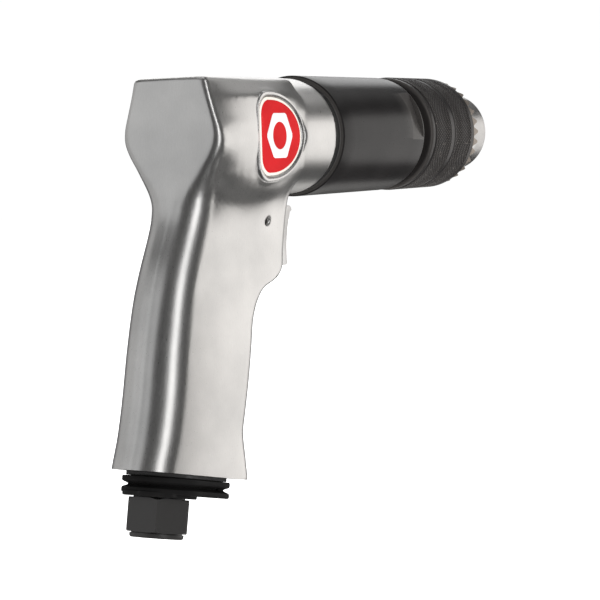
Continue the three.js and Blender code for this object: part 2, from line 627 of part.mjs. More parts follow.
function makeGearCase() {
  const front = BARREL_LENGTH;
  const shoulder = [0, 30, 60, 90].map(deg).map(a => [
    front - SHOULDER_RADIUS * (1 - Math.sin(a)), barrelRadius - SHOULDER_RADIUS * (1 - Math.cos(a)),
  ]);
  let body = turned([
    [-SPIGOT_LENGTH, motorRadius - SPIGOT_WALL], [-SPIGOT_LENGTH, motorRadius], [0, motorRadius],
    [GAP, barrelRadius - GROOVE_DEPTH], [GROOVE_WIDTH, barrelRadius - GROOVE_DEPTH],
    [GROOVE_WIDTH, barrelRadius - 0.4], [GROOVE_WIDTH + 0.4, barrelRadius], ...shoulder,
    [front, caseBore], [GROOVE_WIDTH, caseBore], [GROOVE_WIDTH, motorRadius - SPIGOT_WALL],
  ], 40);
  for (const side of [0, Math.PI]) {
    const flat = box([front - SHOULDER_RADIUS - FLAT_LENGTH, front - SHOULDER_RADIUS],
      [-30, -barrelRadius + FLAT_DEPTH], [-20, 20]);
    body = cut(body, turnX(flat, -deg(FLAT_TURN) + side));
  }
  return body;
}
add('gear_case', makeGearCase(), blackSteel);

// ---- Build: gears, spindle and bearings ----
add('ring_gear', makeRingGear(), gearSteel);
planetAngles.forEach((angle, i) => {
  const pin = pinBar(angle, gearStart + GAP, carrierEnd - PIN_SEAT - GAP, PIN_RADIUS);
  add(`planet_gear_${i + 1}`, makePlanet(angle), gearSteel);
  add(`planet_pin_${i + 1}`, pin, gearSteel);
});
add('output_spindle', makeSpindle(), gearSteel);

const capBack = BARREL_LENGTH - CAP_THICKNESS;
const bearingStarts = { rear: bearingSeat + GAP, front: capBack - GAP - BEARING_WIDTH };
const bearingOuter = caseBore - GAP;
const bearingInner = SPINDLE_RADIUS + GAP;
const sealOuter = bearingInner + SEAL_WALL;
for (const [place, x] of Object.entries(bearingStarts)) {
  const innerRing = tube(x, x + BEARING_WIDTH, bearingInner + BEARING_RING, bearingInner);
  const outerRing = tube(x, x + BEARING_WIDTH, bearingOuter, bearingOuter - BEARING_RING);
  add(`spindle_bearing_${place}_inner`, innerRing, satinSteel);
  add(`spindle_bearing_${place}_outer`, outerRing, satinSteel);
}
const spacerStart = bearingStarts.rear + BEARING_WIDTH + GAP;
const spacer = tube(spacerStart, bearingStarts.front - GAP, bearingOuter, bearingOuter - SPACER_WALL);
add('bearing_spacer', spacer, gearSteel);
add('front_cap', turned([
  [capBack, sealOuter + GAP], [capBack, bearingOuter], [BARREL_LENGTH - GAP, bearingOuter],
  [BARREL_LENGTH - GAP, sealOuter + GAP],
]), blackSteel);
add('dust_seal', tube(BARREL_LENGTH - 5, BARREL_LENGTH - 2 * GAP, sealOuter, bearingInner), blackRubber);

// ---- Build: air motor ----
const rearPlateEnd = motorBack + GAP + REAR_PLATE;
const rotorStart = rearPlateEnd + GAP;
const frontPlateEnd = -SPIGOT_LENGTH - GAP;
const frontPlateStart = frontPlateEnd - FRONT_PLATE;
const rotorEnd = frontPlateStart - GAP;
const shaftHole = SHAFT_RADIUS + SHAFT_CLEARANCE;

add('rear_end_plate', turned([
  [motorBack + GAP, MOTOR_BEARING_RADIUS], [motorBack + GAP, motorRadius], [rearPlateEnd, motorRadius],
  [rearPlateEnd, shaftHole], [motorBack + GAP + MOTOR_BEARING_WIDTH + 1, shaftHole],
  [motorBack + GAP + MOTOR_BEARING_WIDTH + 1, MOTOR_BEARING_RADIUS],
], INNER_ROUND), gearSteel);
add('front_end_plate', turned([
  [frontPlateStart, shaftHole], [frontPlateStart, motorRadius], [frontPlateEnd, motorRadius],
  [frontPlateEnd, MOTOR_BEARING_RADIUS], [frontPlateEnd - MOTOR_BEARING_WIDTH - 1, MOTOR_BEARING_RADIUS],
  [frontPlateEnd - MOTOR_BEARING_WIDTH - 1, shaftHole],
], INNER_ROUND), gearSteel);

function makeLiner() {
  const bore = rod(rotorStart - 1, rotorEnd + 1, linerBore, ROUND);
  const shell = rod(rotorStart, rotorEnd, motorRadius, ROUND);
  const ports = [-PORT_SPACING, 0, PORT_SPACING].map(x => {
    const middle = (rotorStart + rotorEnd) / 2 + x;
    const outside = new THREE.Vector3(middle, PORT_SIDE, -motorRadius - 8);
    return bar(outside, new THREE.Vector3(middle, PORT_SIDE, 0), PORT_RADIUS, 12);
  });
  return cut(shell, bore.translate([0, 0, -LINER_ECCENTRICITY]), ...ports);
}
add('motor_cylinder', makeLiner(), satinSteel);

const vaneAngles = Array.from({ length: VANE_COUNT }, (_, n) => 2 * Math.PI * n / VANE_COUNT);
function makeRotor() {
  const pinion = extrudedX(outsideGear(SUN_TEETH, 0), gearStart + GAP, gearEnd - GAP);
  const shaft = rod(motorBack + 2 * GAP, gearStart + 1, MODULE * (SUN_TEETH / 2 - DEDENDUM), SMALL_ROUND);
  const journal = rod(motorBack + 2 * GAP, frontPlateEnd, SHAFT_RADIUS, SMALL_ROUND);
  const core = rod(rotorStart + GAP, rotorEnd - GAP, rotorRadius, ROUND);
  const half = VANE_THICKNESS / 2 + GAP;
  const slots = vaneAngles.map(angle =>
    turnX(box([rotorStart, rotorEnd], [-half, half], [slotBottom, rotorRadius + 2]), angle));
  return union([cut(core, ...slots), journal, shaft, pinion]);
}
add('rotor', makeRotor(), gearSteel);
vaneAngles.forEach((angle, i) => {
  const blade = box([rotorStart + 2 * GAP, rotorEnd - 2 * GAP], [-VANE_THICKNESS / 2, VANE_THICKNESS / 2],
    [slotBottom + GAP, rotorRadius - 0.1]);
  add(`vane_${i + 1}`, turnX(blade, angle), vaneResin);
});
const motorBearings = { rear: motorBack + 2 * GAP, front: frontPlateEnd - GAP - MOTOR_BEARING_WIDTH };
for (const [place, x] of Object.entries(motorBearings)) {
  const end = x + MOTOR_BEARING_WIDTH;
  const outer = MOTOR_BEARING_RADIUS - GAP;
  const inner = SHAFT_RADIUS + GAP;
  const innerRing = tube(x, end, inner + MOTOR_BEARING_RING, inner, SMALL_ROUND);
  add(`motor_bearing_${place}_inner`, innerRing, satinSteel);
  const outerRing = tube(x, end, outer, outer - MOTOR_BEARING_RING, SMALL_ROUND);
  add(`motor_bearing_${place}_outer`, outerRing, satinSteel);
}

// ---- Build: trigger and throttle valve ----
function makeTrigger() {
  const top = -TRIGGER_TOP_DROP;
  const bottom = top - TRIGGER_HEIGHT;
  const tip = bossFront + TRIGGER_REACH;
  const paddle = slab([
    [paddleBack, bottom], [tip - 5, bottom], [tip - 4.2, bottom + 0.8], [tip - 4.5, top - 15],
    [tip - 3.8, top - 10], [tip - 1.8, top - 4.6], [tip - 0.6, top - 2.2], [tip - 0.8, top - 0.9],
    [tip - 2, top], [paddleBack, top],
  ], -TRIGGER_HALF_WIDTH, TRIGGER_HALF_WIDTH, 0.6);
  const inside = TRIGGER_HALF_WIDTH - PADDLE_WALL;
  const hollowFront = tip - TRIGGER_WALL - PADDLE_SINK;
  const hollow = box([paddleBack - 1, hollowFront], [-inside, inside],
    [bottom + PADDLE_WALL, top - PADDLE_WALL]);
  const lug = box([lugBack, hollowFront + 1], [-LUG_HALF_WIDTH, LUG_HALF_WIDTH],
    [lugZ - LUG_HEIGHT / 2, lugZ + LUG_HEIGHT / 2]);
  const play = TRIGGER_PIN_RADIUS + GAP;
  const slot = box([pinHole.x - play, pinHole.x + TRIGGER_TRAVEL + play], [-20, 20],
    [pinHole.z - play, pinHole.z + play]);
  return cut(union([cut(paddle, hollow), lug]), slot);
}
add('trigger', makeTrigger(), satinSteel);
const pinEnd = NECK_HALF_WIDTH - PIN_END;
const pin = bar(pinHole.clone().setY(-pinEnd), pinHole.clone().setY(pinEnd), TRIGGER_PIN_RADIUS, 16);
add('trigger_pin', pin, blackSteel);

add('throttle_valve', union([
  valveAxis(valveHeadX - VALVE_HEAD_LENGTH, valveHeadX, VALVE_HEAD_RADIUS, SMALL_ROUND),
  valveAxis(valveHeadX - 1, lugBack - GAP, VALVE_STEM_RADIUS, 16),
]), brass);
add('valve_bushing', cut(
  valveAxis(valveHeadX + GAP, chamberFront - GAP, VALVE_CHAMBER_RADIUS - GAP, SMALL_ROUND),
  valveAxis(valveHeadX - 1, chamberFront + 1, VALVE_STEM_RADIUS + VALVE_SEAT_PLAY, 16),
), brass);

function makeSpring() {
  const length = VALVE_SPRING_LENGTH - 2 * GAP - 2 * SPRING_WIRE;
  class Coil extends THREE.Curve {
    getPoint(t, target = new THREE.Vector3()) {
      const angle = 2 * Math.PI * VALVE_SPRING_TURNS * t;
      return target.set(-length * t, SPRING_RADIUS * Math.cos(angle), SPRING_RADIUS * Math.sin(angle));
    }
  }
  const ring = new THREE.Shape(circle(SPRING_WIRE, 5).map(([x, y]) => new THREE.Vector2(x, y)));
  const options = { steps: VALVE_SPRING_TURNS * 8, extrudePath: new Coil() };
  const geometry = new THREE.ExtrudeGeometry(ring, options);
  return solid(geometry.translate(valveHeadX - VALVE_HEAD_LENGTH - GAP - SPRING_WIRE, 0, lugZ));
}
add('valve_spring', makeSpring(), springSteel);

// ---- Build: inlet and exhaust, in the leaning frame under the handle ----
const zBar = (x, z0, z1, radius, sides = SMALL_ROUND) =>
  bar(new THREE.Vector3(x, 0, z0), new THREE.Vector3(x, 0, z1), radius, sides);

// An oval plate whose length runs from back to front.
function ovalPlate(length, width, z0, z1) {
  const shape = new THREE.Shape();
  const straight = (length - width) / 2;
  shape.absarc(straight, 0, width / 2, -Math.PI / 2, Math.PI / 2);
  shape.absarc(-straight, 0, width / 2, Math.PI / 2, 3 * Math.PI / 2);
  const options = { depth: z1 - z0, bevelEnabled: false, curveSegments: 9 };
  return solid(new THREE.ExtrudeGeometry(shape, options).translate(0, 0, z0));
}

const ribTop = -GAP - GASKET_THICKNESS;
const grooveTop = ribTop - RIB_HEIGHT;
const lowerRib = grooveTop - RIB_GROOVE;
const ribBottom = lowerRib - RIB_HEIGHT;
const deflectorBottom = ribBottom - BOSS_HEIGHT;
const hexTop = deflectorBottom - GAP;
const hexBottom = hexTop - HEX_HEIGHT;
const collarFace = hexBottom - COLLAR_HEIGHT;
const bushingHole = INLET_THREAD_RADIUS + GAP;

const gasketPlate = ovalPlate(DEFLECTOR_LENGTH - 2 * GASKET_INSET, DEFLECTOR_WIDTH - 2 * GASKET_INSET,
  -GASKET_THICKNESS, -GAP);
const gasketHoles = [zBar(inletX, -9, 9, bushingHole), zBar(EXHAUST_AHEAD, -9, 9, EXHAUST_RADIUS)];
add('deflector_gasket', cut(gasketPlate, ...gasketHoles), blackRubber, foot);

function makeDeflector() {
  const middle = (grooveTop + lowerRib) / 2;
  const overlap = 0.5;
  const inner = [DEFLECTOR_LENGTH - 2 * RIB_INSET, DEFLECTOR_WIDTH - 2 * RIB_INSET];
  const body = union([
    ovalPlate(DEFLECTOR_LENGTH, DEFLECTOR_WIDTH, grooveTop, ribTop),
    ovalPlate(...inner, lowerRib - overlap, grooveTop + overlap),
    ovalPlate(DEFLECTOR_LENGTH, DEFLECTOR_WIDTH, ribBottom, lowerRib),
    zBar(inletX, deflectorBottom, ribBottom + overlap, BOSS_RADIUS, ROUND),
  ]);
  const vents = [-1, 1].map(side => bar(new THREE.Vector3(EXHAUST_AHEAD, 0, middle),
    new THREE.Vector3(EXHAUST_AHEAD, side * DEFLECTOR_WIDTH, middle), RIB_GROOVE / 2, 8));
  const exhaust = zBar(EXHAUST_AHEAD, middle, 9, EXHAUST_RADIUS);
  return cut(body, zBar(inletX, -20, 9, bushingHole), exhaust, ...vents);
}
add('exhaust_deflector', makeDeflector(), blackSteel, foot);

function makeInlet() {
  const corner = HEX_ACROSS_FLATS / 2 / Math.cos(Math.PI / 6);
  const hexagon = circle(corner, 6, Math.PI / 6).map(([x, y]) => new THREE.Vector2(x + inletX, y));
  const options = { depth: HEX_HEIGHT, bevelEnabled: false };
  const prism = new THREE.ExtrudeGeometry(new THREE.Shape(hexagon), options);
  const rim = corner - 0.9;
  const outside = corner + 0.4;
  const cone = new THREE.LatheGeometry([
    [0, 0], [rim, 0], [outside, 1], [outside, HEX_HEIGHT - 1], [rim, HEX_HEIGHT], [0, HEX_HEIGHT],
  ].map(([r, z]) => new THREE.Vector2(r, z)), ROUND);
  const chamfer = solid(cone.rotateX(Math.PI / 2).translate(inletX, 0, hexBottom));
  return cut(union([
    solid(prism.translate(0, 0, hexBottom)).intersect(chamfer),
    zBar(inletX, collarFace, hexBottom + 1, COLLAR_RADIUS, ROUND),
    zBar(inletX, hexTop - 1, INLET_THREAD_LENGTH, INLET_THREAD_RADIUS),
  ]), zBar(inletX, collarFace - 1, hexTop, INLET_BORE),
  zBar(inletX, hexTop - 2, INLET_THREAD_LENGTH + 1, INLET_BORE - INLET_STEP));
}
add('inlet_bushing', makeInlet(), blackSteel, foot);
const screenRadius = INLET_BORE - INLET_STEP - GAP;
const screenEnd = SCREEN_START + SCREEN_LENGTH;
add('inlet_screen', cut(zBar(inletX, SCREEN_START, screenEnd, screenRadius, 16),
  zBar(inletX, SCREEN_START - 1, screenEnd + 1, screenRadius - SCREEN_WALL, 16)), brass, foot);
const mufflerEnd = MUFFLER_START + MUFFLER_LENGTH;
add('muffler_pad', zBar(EXHAUST_AHEAD, MUFFLER_START, mufflerEnd, EXHAUST_RADIUS), greyFelt, foot);

// ---- Build: chuck ----
const jawDirection = new THREE.Vector3(Math.cos(JAW_ANGLE), 0, -Math.sin(JAW_ANGLE));
const closedTip = new THREE.Vector3(noseEnd + JAW_PROUD, 0, JAW_TIP_OFFSET);
const jawAngles = [0, 1, 2].map(n => deg(180) + 2 * Math.PI * n / 3);

// A jaw that points up, drawn back to its open position.
function makeJaw() {
  const rear = closedTip.clone().addScaledVector(jawDirection, -JAW_LENGTH);
  const barBody = bar(rear, closedTip.clone().addScaledVector(jawDirection, 3), JAW_RADIUS, 20);
  const wedge = new THREE.Shape([[0.45, 0], [30, 30 * Math.tan(deg(60))], [30, -30 * Math.tan(deg(60))]]
    .map(([z, y]) => new THREE.Vector2(y, z)));
  const wedgeBody = solid(new THREE.ExtrudeGeometry(wedge, { depth: 120, bevelEnabled: false })
    .applyMatrix4(new THREE.Matrix4().makeBasis(new THREE.Vector3(0, 1, 0), new THREE.Vector3(0, 0, 1),
      new THREE.Vector3(1, 0, 0))).translate(closedTip.x - 118, 0, 0));
  const block = box([rear.x - 5, closedTip.x], [-20, 20], [0.75, 40]);
  const open = barBody.intersect(wedgeBody).intersect(block)
    .translate(jawDirection.clone().multiplyScalar(-jawTravel).toArray());
  return open.intersect(rod(0, noseEnd + 9, SLEEVE_BORE - 0.5, ROUND));
}

const jawBar = (angle, back, front, radius) => turnX(bar(
  closedTip.clone().addScaledVector(jawDirection, -back),
  closedTip.clone().addScaledVector(jawDirection, front), radius, 20), angle);
const screwEnd = spindleEnd + THREAD_LENGTH + GAP;
const screwSeat = screwEnd + CHUCK_STEP + GAP;

function makeChuckBody() {
  const start = spindleEnd + GAP;
  const step = sleeveStart + CHUCK_STEP;
  const nut = [nutMiddle - NUT_WIDTH / 2 - GAP, nutMiddle + NUT_WIDTH / 2 + GAP];
  const groove = CHUCK_BODY_RADIUS - NUT_GROOVE;
  const landRadius = CHUCK_BODY_RADIUS - CHUCK_STEP;
  const round = [0, 45, 90].map(deg).map(a => [
    noseEnd - NOSE_ROUND * (1 - Math.sin(a)), CHUCK_NOSE_RADIUS - NOSE_ROUND * (1 - Math.cos(a)),
  ]);
  const body = turned([
    [start, 0], [start, CHUCK_HUB_RADIUS], [step, CHUCK_HUB_RADIUS], [step, CHUCK_BODY_RADIUS],
    [nut[0], CHUCK_BODY_RADIUS], [nut[0], groove], [nut[1], groove], [nut[1], landRadius],
    [sleeveEnd - 4, landRadius], [sleeveEnd - 4, CHUCK_NOSE_RADIUS], ...round, [noseEnd, 0],
  ]);
  const jawHoles = jawAngles.map(angle => jawBar(angle, JAW_LENGTH + jawTravel + 2, 9, JAW_RADIUS + GAP));
  const keyX = sleeveEnd + KEY_HOLE_AHEAD;
  const keyHole = bar(new THREE.Vector3(keyX, 0, KEY_HOLE_BOTTOM), new THREE.Vector3(keyX, 0, 30),
    KEY_HOLE_RADIUS, 16);
  return cut(body, ...jawHoles, ...jawAngles.map(angle => turnX(keyHole, angle + deg(60))),
    rod(start - 1, screwEnd, THREAD_RADIUS + GAP),
    rod(screwEnd - 1, screwEnd + 5, SCREW_RADIUS + GAP),
    rod(screwEnd + CHUCK_STEP, screwEnd + 13, SCREW_HEAD_RADIUS + 0.5),
    rod(screwEnd + 12, noseEnd + 1, CHUCK_BORE));
}

function makeSleeve() {
  const lip = sleeveStart + 2;
  const toothRoot = sleeveEnd - KEY_TOOTH_DEPTH;
  const rim = SLEEVE_RADIUS - 0.7;
  const land = CHUCK_BODY_RADIUS - CHUCK_STEP + GAP;
  const nutEnd = nutMiddle + NUT_WIDTH / 2 + GAP;
  const body = turned([
    [sleeveStart, 12], [sleeveStart, SLEEVE_RADIUS - 0.8], [sleeveStart + 0.8, SLEEVE_RADIUS - 0.1],
    [lip + 11.6, SLEEVE_RADIUS - 0.1], [lip + 12.4, SLEEVE_RADIUS - 0.4], [lip + 17.6, SLEEVE_RADIUS - 0.4],
    [lip + 18.4, SLEEVE_RADIUS], [toothRoot - 3, SLEEVE_RADIUS], [toothRoot, rim], [sleeveEnd, rim],
    [sleeveEnd + KEY_BEVEL, CHUCK_NOSE_RADIUS + GAP], [sleeveEnd - 3.4, CHUCK_NOSE_RADIUS + GAP],
    [sleeveEnd - 3.4, land], [nutEnd, land], [nutEnd, SLEEVE_BORE], [sleeveStart + 1.7, SLEEVE_BORE],
    [sleeveStart + 1.7, 12],
  ], KEY_TEETH);
  const half = Math.PI * rim / KEY_TEETH * 0.9;
  const notches = Array.from({ length: KEY_TEETH }, (_, n) => {
    const wedge = notch([[-half, sleeveEnd + 0.5], [half, sleeveEnd + 0.5], [half * 0.1, toothRoot],
      [-half * 0.1, toothRoot]], land + 1, rim + 2);
    return turnX(wedge, 2 * Math.PI * (n + 0.5) / KEY_TEETH);
  });
  return cut(body, ...notches);
}

// A notch outline given as [y, x], extruded outwards along Z.
function notch(outline, z0, z1) {
  const shape = new THREE.Shape(outline.map(([y, x]) => new THREE.Vector2(x, y)));
  return solid(new THREE.ExtrudeGeometry(shape, { depth: z1 - z0, bevelEnabled: false }).translate(0, 0, z0));
}

add('chuck_body', makeChuckBody(), satinSteel);
add('chuck_sleeve', makeSleeve(), blackSteel);
const nutRing = tube(nutMiddle - NUT_WIDTH / 2, nutMiddle + NUT_WIDTH / 2, SLEEVE_BORE - GAP,
  CHUCK_BODY_RADIUS - NUT_GROOVE + GAP);
add('nut_half_1', nutRing.intersect(box([0, noseEnd], [GAP / 2, 40], [-40, 40])), gearSteel);
add('nut_half_2', nutRing.intersect(box([0, noseEnd], [-40, -GAP / 2], [-40, 40])), gearSteel);
jawAngles.forEach((angle, i) => add(`jaw_${i + 1}`, turnX(makeJaw(), angle), satinSteel));
add('chuck_screw', union([
  rod(BARREL_LENGTH + 5, screwSeat + 1, SCREW_RADIUS, 16),
  rod(screwSeat, screwSeat + SCREW_HEAD_LENGTH, SCREW_HEAD_RADIUS),
]), blackSteel);

group.updateMatrixWorld(true);
export default group;
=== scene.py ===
# Looks of the pistol-grip air drill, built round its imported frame.
# Shapes are worked out in millimetres with the spindle along X and X = 0 at the front edge of the housing.
import json
import math

import bmesh
import bpy
from mathutils import Matrix, Vector


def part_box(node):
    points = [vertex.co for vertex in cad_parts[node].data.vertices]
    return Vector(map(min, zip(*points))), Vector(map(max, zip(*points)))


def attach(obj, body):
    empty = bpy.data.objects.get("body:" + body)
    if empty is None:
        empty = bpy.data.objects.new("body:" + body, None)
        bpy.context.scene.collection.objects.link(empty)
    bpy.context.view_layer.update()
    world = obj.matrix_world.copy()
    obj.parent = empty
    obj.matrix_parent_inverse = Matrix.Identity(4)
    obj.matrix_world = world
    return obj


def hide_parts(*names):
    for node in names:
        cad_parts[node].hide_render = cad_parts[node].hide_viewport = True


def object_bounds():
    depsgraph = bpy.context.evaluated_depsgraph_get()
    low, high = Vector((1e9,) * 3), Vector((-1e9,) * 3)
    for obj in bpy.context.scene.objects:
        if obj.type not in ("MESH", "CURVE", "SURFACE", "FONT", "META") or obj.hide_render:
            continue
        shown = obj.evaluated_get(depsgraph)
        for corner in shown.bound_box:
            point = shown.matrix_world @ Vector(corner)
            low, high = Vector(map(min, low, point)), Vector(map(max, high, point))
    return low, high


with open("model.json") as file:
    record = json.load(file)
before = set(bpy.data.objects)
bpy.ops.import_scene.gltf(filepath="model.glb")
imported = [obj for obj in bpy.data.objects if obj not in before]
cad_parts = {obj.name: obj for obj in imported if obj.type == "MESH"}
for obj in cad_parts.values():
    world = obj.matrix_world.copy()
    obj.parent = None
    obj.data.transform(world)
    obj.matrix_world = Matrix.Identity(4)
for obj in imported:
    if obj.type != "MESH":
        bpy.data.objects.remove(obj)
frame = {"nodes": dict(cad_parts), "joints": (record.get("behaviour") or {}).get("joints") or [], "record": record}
cadLow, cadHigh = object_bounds()
record = frame["record"]
print("frame loaded")

# Where things are: the spindle line comes from its joint, the leaning foot from the inlet mount.
spindleJoint = next(j for j in frame["joints"] if j["name"] == "spindle_spin")
inletMount = next(m for m in record["mounts"] if m["name"] == "air_inlet_face")
spindleStart = Vector((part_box("motor_housing")[1].x, spindleJoint["pos_m"][1], spindleJoint["pos_m"][2]))
toRow = Matrix.Translation(spindleStart) @ Matrix.Scale(0.001, 4)
toDrill = toRow.inverted()

footSizes = {"inletBehind": 9.4, "exhaustAhead": 6.5, "collarFace": -20.9, "mountOffset": 7.2}
footUp = -Vector(inletMount["axis"])
footAhead = Vector((footUp.z, 0, -footUp.x))
footBase = (toDrill @ Vector(inletMount["pos_m"])
            - footAhead * (footSizes["mountOffset"] - footSizes["inletBehind"])
            - footUp * footSizes["collarFace"])
footToDrill = Matrix.Translation(footBase) @ Matrix((
    (footAhead.x, 0, footUp.x, 0), (0, 1, 0, 0), (footAhead.z, 0, footUp.z, 0), (0, 0, 0, 1)))
upright = Matrix.Rotation(math.radians(-90), 4, "Y")     # stands a turned piece along Z


# ---- finishes ----
def startFinish(name):
    made = bpy.data.materials.new(name)
    made.use_nodes = True
    tree = made.node_tree
    shader = tree.nodes["Principled BSDF"]
    place = tree.nodes.new("ShaderNodeTexCoord")
    return made, tree, shader, place.outputs["Object"]


def stretched(tree, place, stretch, turn=(0, 0, 0)):
    mapping = tree.nodes.new("ShaderNodeMapping")
    mapping.inputs["Scale"].default_value = stretch
    mapping.inputs["Rotation"].default_value = turn
    tree.links.new(place, mapping.inputs["Vector"])
    return mapping.outputs["Vector"]


def grain(tree, place, scale, detail=4, rough=0.55):
    noise = tree.nodes.new("ShaderNodeTexNoise")
    noise.inputs["Scale"].default_value = scale
    noise.inputs["Detail"].default_value = detail
    noise.inputs["Roughness"].default_value = rough
    tree.links.new(place, noise.inputs["Vector"])
    return noise.outputs["Fac"]


def ramp(tree, value, stops):
    made = tree.nodes.new("ShaderNodeValToRGB")
    made.color_ramp.elements[0].position = stops[0][0]
    made.color_ramp.elements[0].color = (*stops[0][1], 1)
    made.color_ramp.elements[1].position = stops[-1][0]
    made.color_ramp.elements[1].color = (*stops[-1][1], 1)
    for spot, colour in stops[1:-1]:
        made.color_ramp.elements.new(spot).color = (*colour, 1)
    tree.links.new(value, made.inputs["Fac"])
    return made.outputs["Color"]


def spread(tree, value, low, high, fromLow=0.3, fromHigh=0.7):
    made = tree.nodes.new("ShaderNodeMapRange")
    made.inputs["From Min"].default_value = fromLow
    made.inputs["From Max"].default_value = fromHigh
    made.inputs["To Min"].default_value = low
    made.inputs["To Max"].default_value = high
    tree.links.new(value, made.inputs["Value"])
    return made.outputs["Result"]


def blended(tree, share, first, second, kind="MIX"):
    mix = tree.nodes.new("ShaderNodeMix")
    mix.data_type = "RGBA"
    mix.blend_type = kind
    for source, socket in ((share, 0), (first, 6), (second, 7)):
        if isinstance(source, tuple):
            mix.inputs[socket].default_value = (*source, 1)
        elif isinstance(source, float):
            mix.inputs[socket].default_value = source
        else:
            tree.links.new(source, mix.inputs[socket])
    return mix.outputs[2]


def bumped(tree, shader, height, strength, depth, before=None):
    bump = tree.nodes.new("ShaderNodeBump")
    bump.inputs["Strength"].default_value = strength
    bump.inputs["Distance"].default_value = depth
    tree.links.new(height, bump.inputs["Height"])
    if before:
        tree.links.new(before, bump.inputs["Normal"])
    tree.links.new(bump.outputs["Normal"], shader.inputs["Normal"])
    return bump.outputs["Normal"]


def wornEdges(tree, low, high):
    # light where a dense mesh turns outwards sharply
    shape = tree.nodes.new("ShaderNodeNewGeometry")
    return spread(tree, shape.outputs["Pointiness"], 0.0, 1.0, low, high)


reliefDepths = {"grain": 0.00006, "pits": 0.00008}     # metres


# One metal recipe: cloudy colour, fine grain drawn out along one way, uneven roughness and rubbed edges.
def metalFinish(name, look):
    made, tree, shader, place = startFinish(name)
    cloud = grain(tree, place, look["cloud"], 3)
    fine = grain(tree, stretched(tree, place, look["drawn"]), look["grain"], 5, 0.62)
    colour = ramp(tree, cloud, ((0.3, look["dark"]), (0.7, look["light"])))
    streak = ramp(tree, fine, ((0.25, (look["streak"],) * 3), (0.75, (1.0, 1.0, 1.0))))
    colour = blended(tree, 1.0, colour, streak, "MULTIPLY")
    edge = wornEdges(tree, *look["edge"])
    colour = blended(tree, edge, colour, look["worn"])
    tree.links.new(colour, shader.inputs["Base Color"])
    low, high = look["rough"]
    tree.links.new(spread(tree, fine, low, high), shader.inputs["Roughness"])
    shader.inputs["Metallic"].default_value = look["metal"]
    shader.inputs["Specular IOR Level"].default_value = look.get("gloss", 0.5)
    pitted = bumped(tree, shader, fine, look["bump"], reliefDepths["grain"])
    pits = grain(tree, place, look["pits"], 2)
    bumped(tree, shader, pits, look["pitBump"], reliefDepths["pits"], pitted)
    return made


castLook = {
    "cloud": 45, "drawn": (1, 1, 0.22), "grain": 2600, "streak": 0.88,
    "dark": (0.66, 0.655, 0.645), "light": (0.80, 0.79, 0.775), "worn": (0.86, 0.86, 0.86),
    "edge": (0.53, 0.62), "rough": (0.27, 0.37), "metal": 1.0, "bump": 0.10, "pits": 900, "pitBump": 0.05,
}
turnedLook = dict(castLook, drawn=(0.2, 1, 1), cloud=60, bump=0.08, pitBump=0.04, rough=(0.24, 0.36))
blackLook = {
    "cloud": 60, "drawn": (0.3, 1, 1), "grain": 2400, "streak": 0.88,
    "dark": (0.007, 0.0064, 0.0064), "light": (0.012, 0.0108, 0.0108), "worn": (0.045, 0.042, 0.04),
    "edge": (0.54, 0.66), "rough": (0.27, 0.33), "metal": 0.0, "gloss": 0.2,
    "bump": 0.012, "pits": 1400, "pitBump": 0.01,
}
knurlLook = dict(blackLook, dark=(0.020, 0.018, 0.018), light=(0.034, 0.031, 0.030), rough=(0.30, 0.42),
                 edge=(0.52, 0.58), worn=(0.10, 0.09, 0.082), metal=0.4, gloss=0.4, pitBump=0.05)
toothLook = dict(blackLook, dark=(0.11, 0.088, 0.070), light=(0.19, 0.155, 0.128),
                 rough=(0.38, 0.5), metal=0.8, edge=(0.52, 0.58), worn=(0.30, 0.26, 0.225))
footLook = dict(blackLook, dark=(0.006, 0.0058, 0.0058), light=(0.010, 0.0096, 0.0096), rough=(0.48, 0.60),
                pitBump=0.08, worn=(0.014, 0.0135, 0.0132), gloss=0.05, cloud=90)
hexLook = dict(footLook, rough=(0.34, 0.44), gloss=0.45, worn=(0.02, 0.019, 0.0185))
steelLook = {
    "cloud": 80, "drawn": (0.2, 1, 1), "grain": 2200, "streak": 0.78,
    "dark": (0.52, 0.515, 0.51), "light": (0.68, 0.67, 0.66), "worn": (0.78, 0.78, 0.78),
    "edge": (0.53, 0.62), "rough": (0.26, 0.42), "metal": 1.0, "bump": 0.12, "pits": 1100, "pitBump": 0.12,
}
gearLook = dict(steelLook, dark=(0.33, 0.335, 0.345), light=(0.46, 0.465, 0.475), rough=(0.3, 0.42))
wireLook = dict(steelLook, drawn=(1, 1, 1), dark=(0.4, 0.4, 0.42), light=(0.54, 0.54, 0.56))
brassLook = dict(steelLook, dark=(0.50, 0.34, 0.12), light=(0.72, 0.52, 0.22), worn=(0.9, 0.74, 0.42))

castAluminium = metalFinish("castAluminium", castLook)
turnedAluminium = metalFinish("turnedAluminium", turnedLook)
blackedSteel = metalFinish("blackedSteel", blackLook)
knurledSteel = metalFinish("knurledSteel", knurlLook)
toothSteel = metalFinish("toothSteel", toothLook)
footSteel = metalFinish("footSteel", footLook)
hexSteel = metalFinish("hexSteel", hexLook)
satinSteel = metalFinish("satinSteel", steelLook)
gearSteel = metalFinish("gearSteel", gearLook)
springWire = metalFinish("springWire", wireLook)
valveBrass = metalFinish("valveBrass", brassLook)


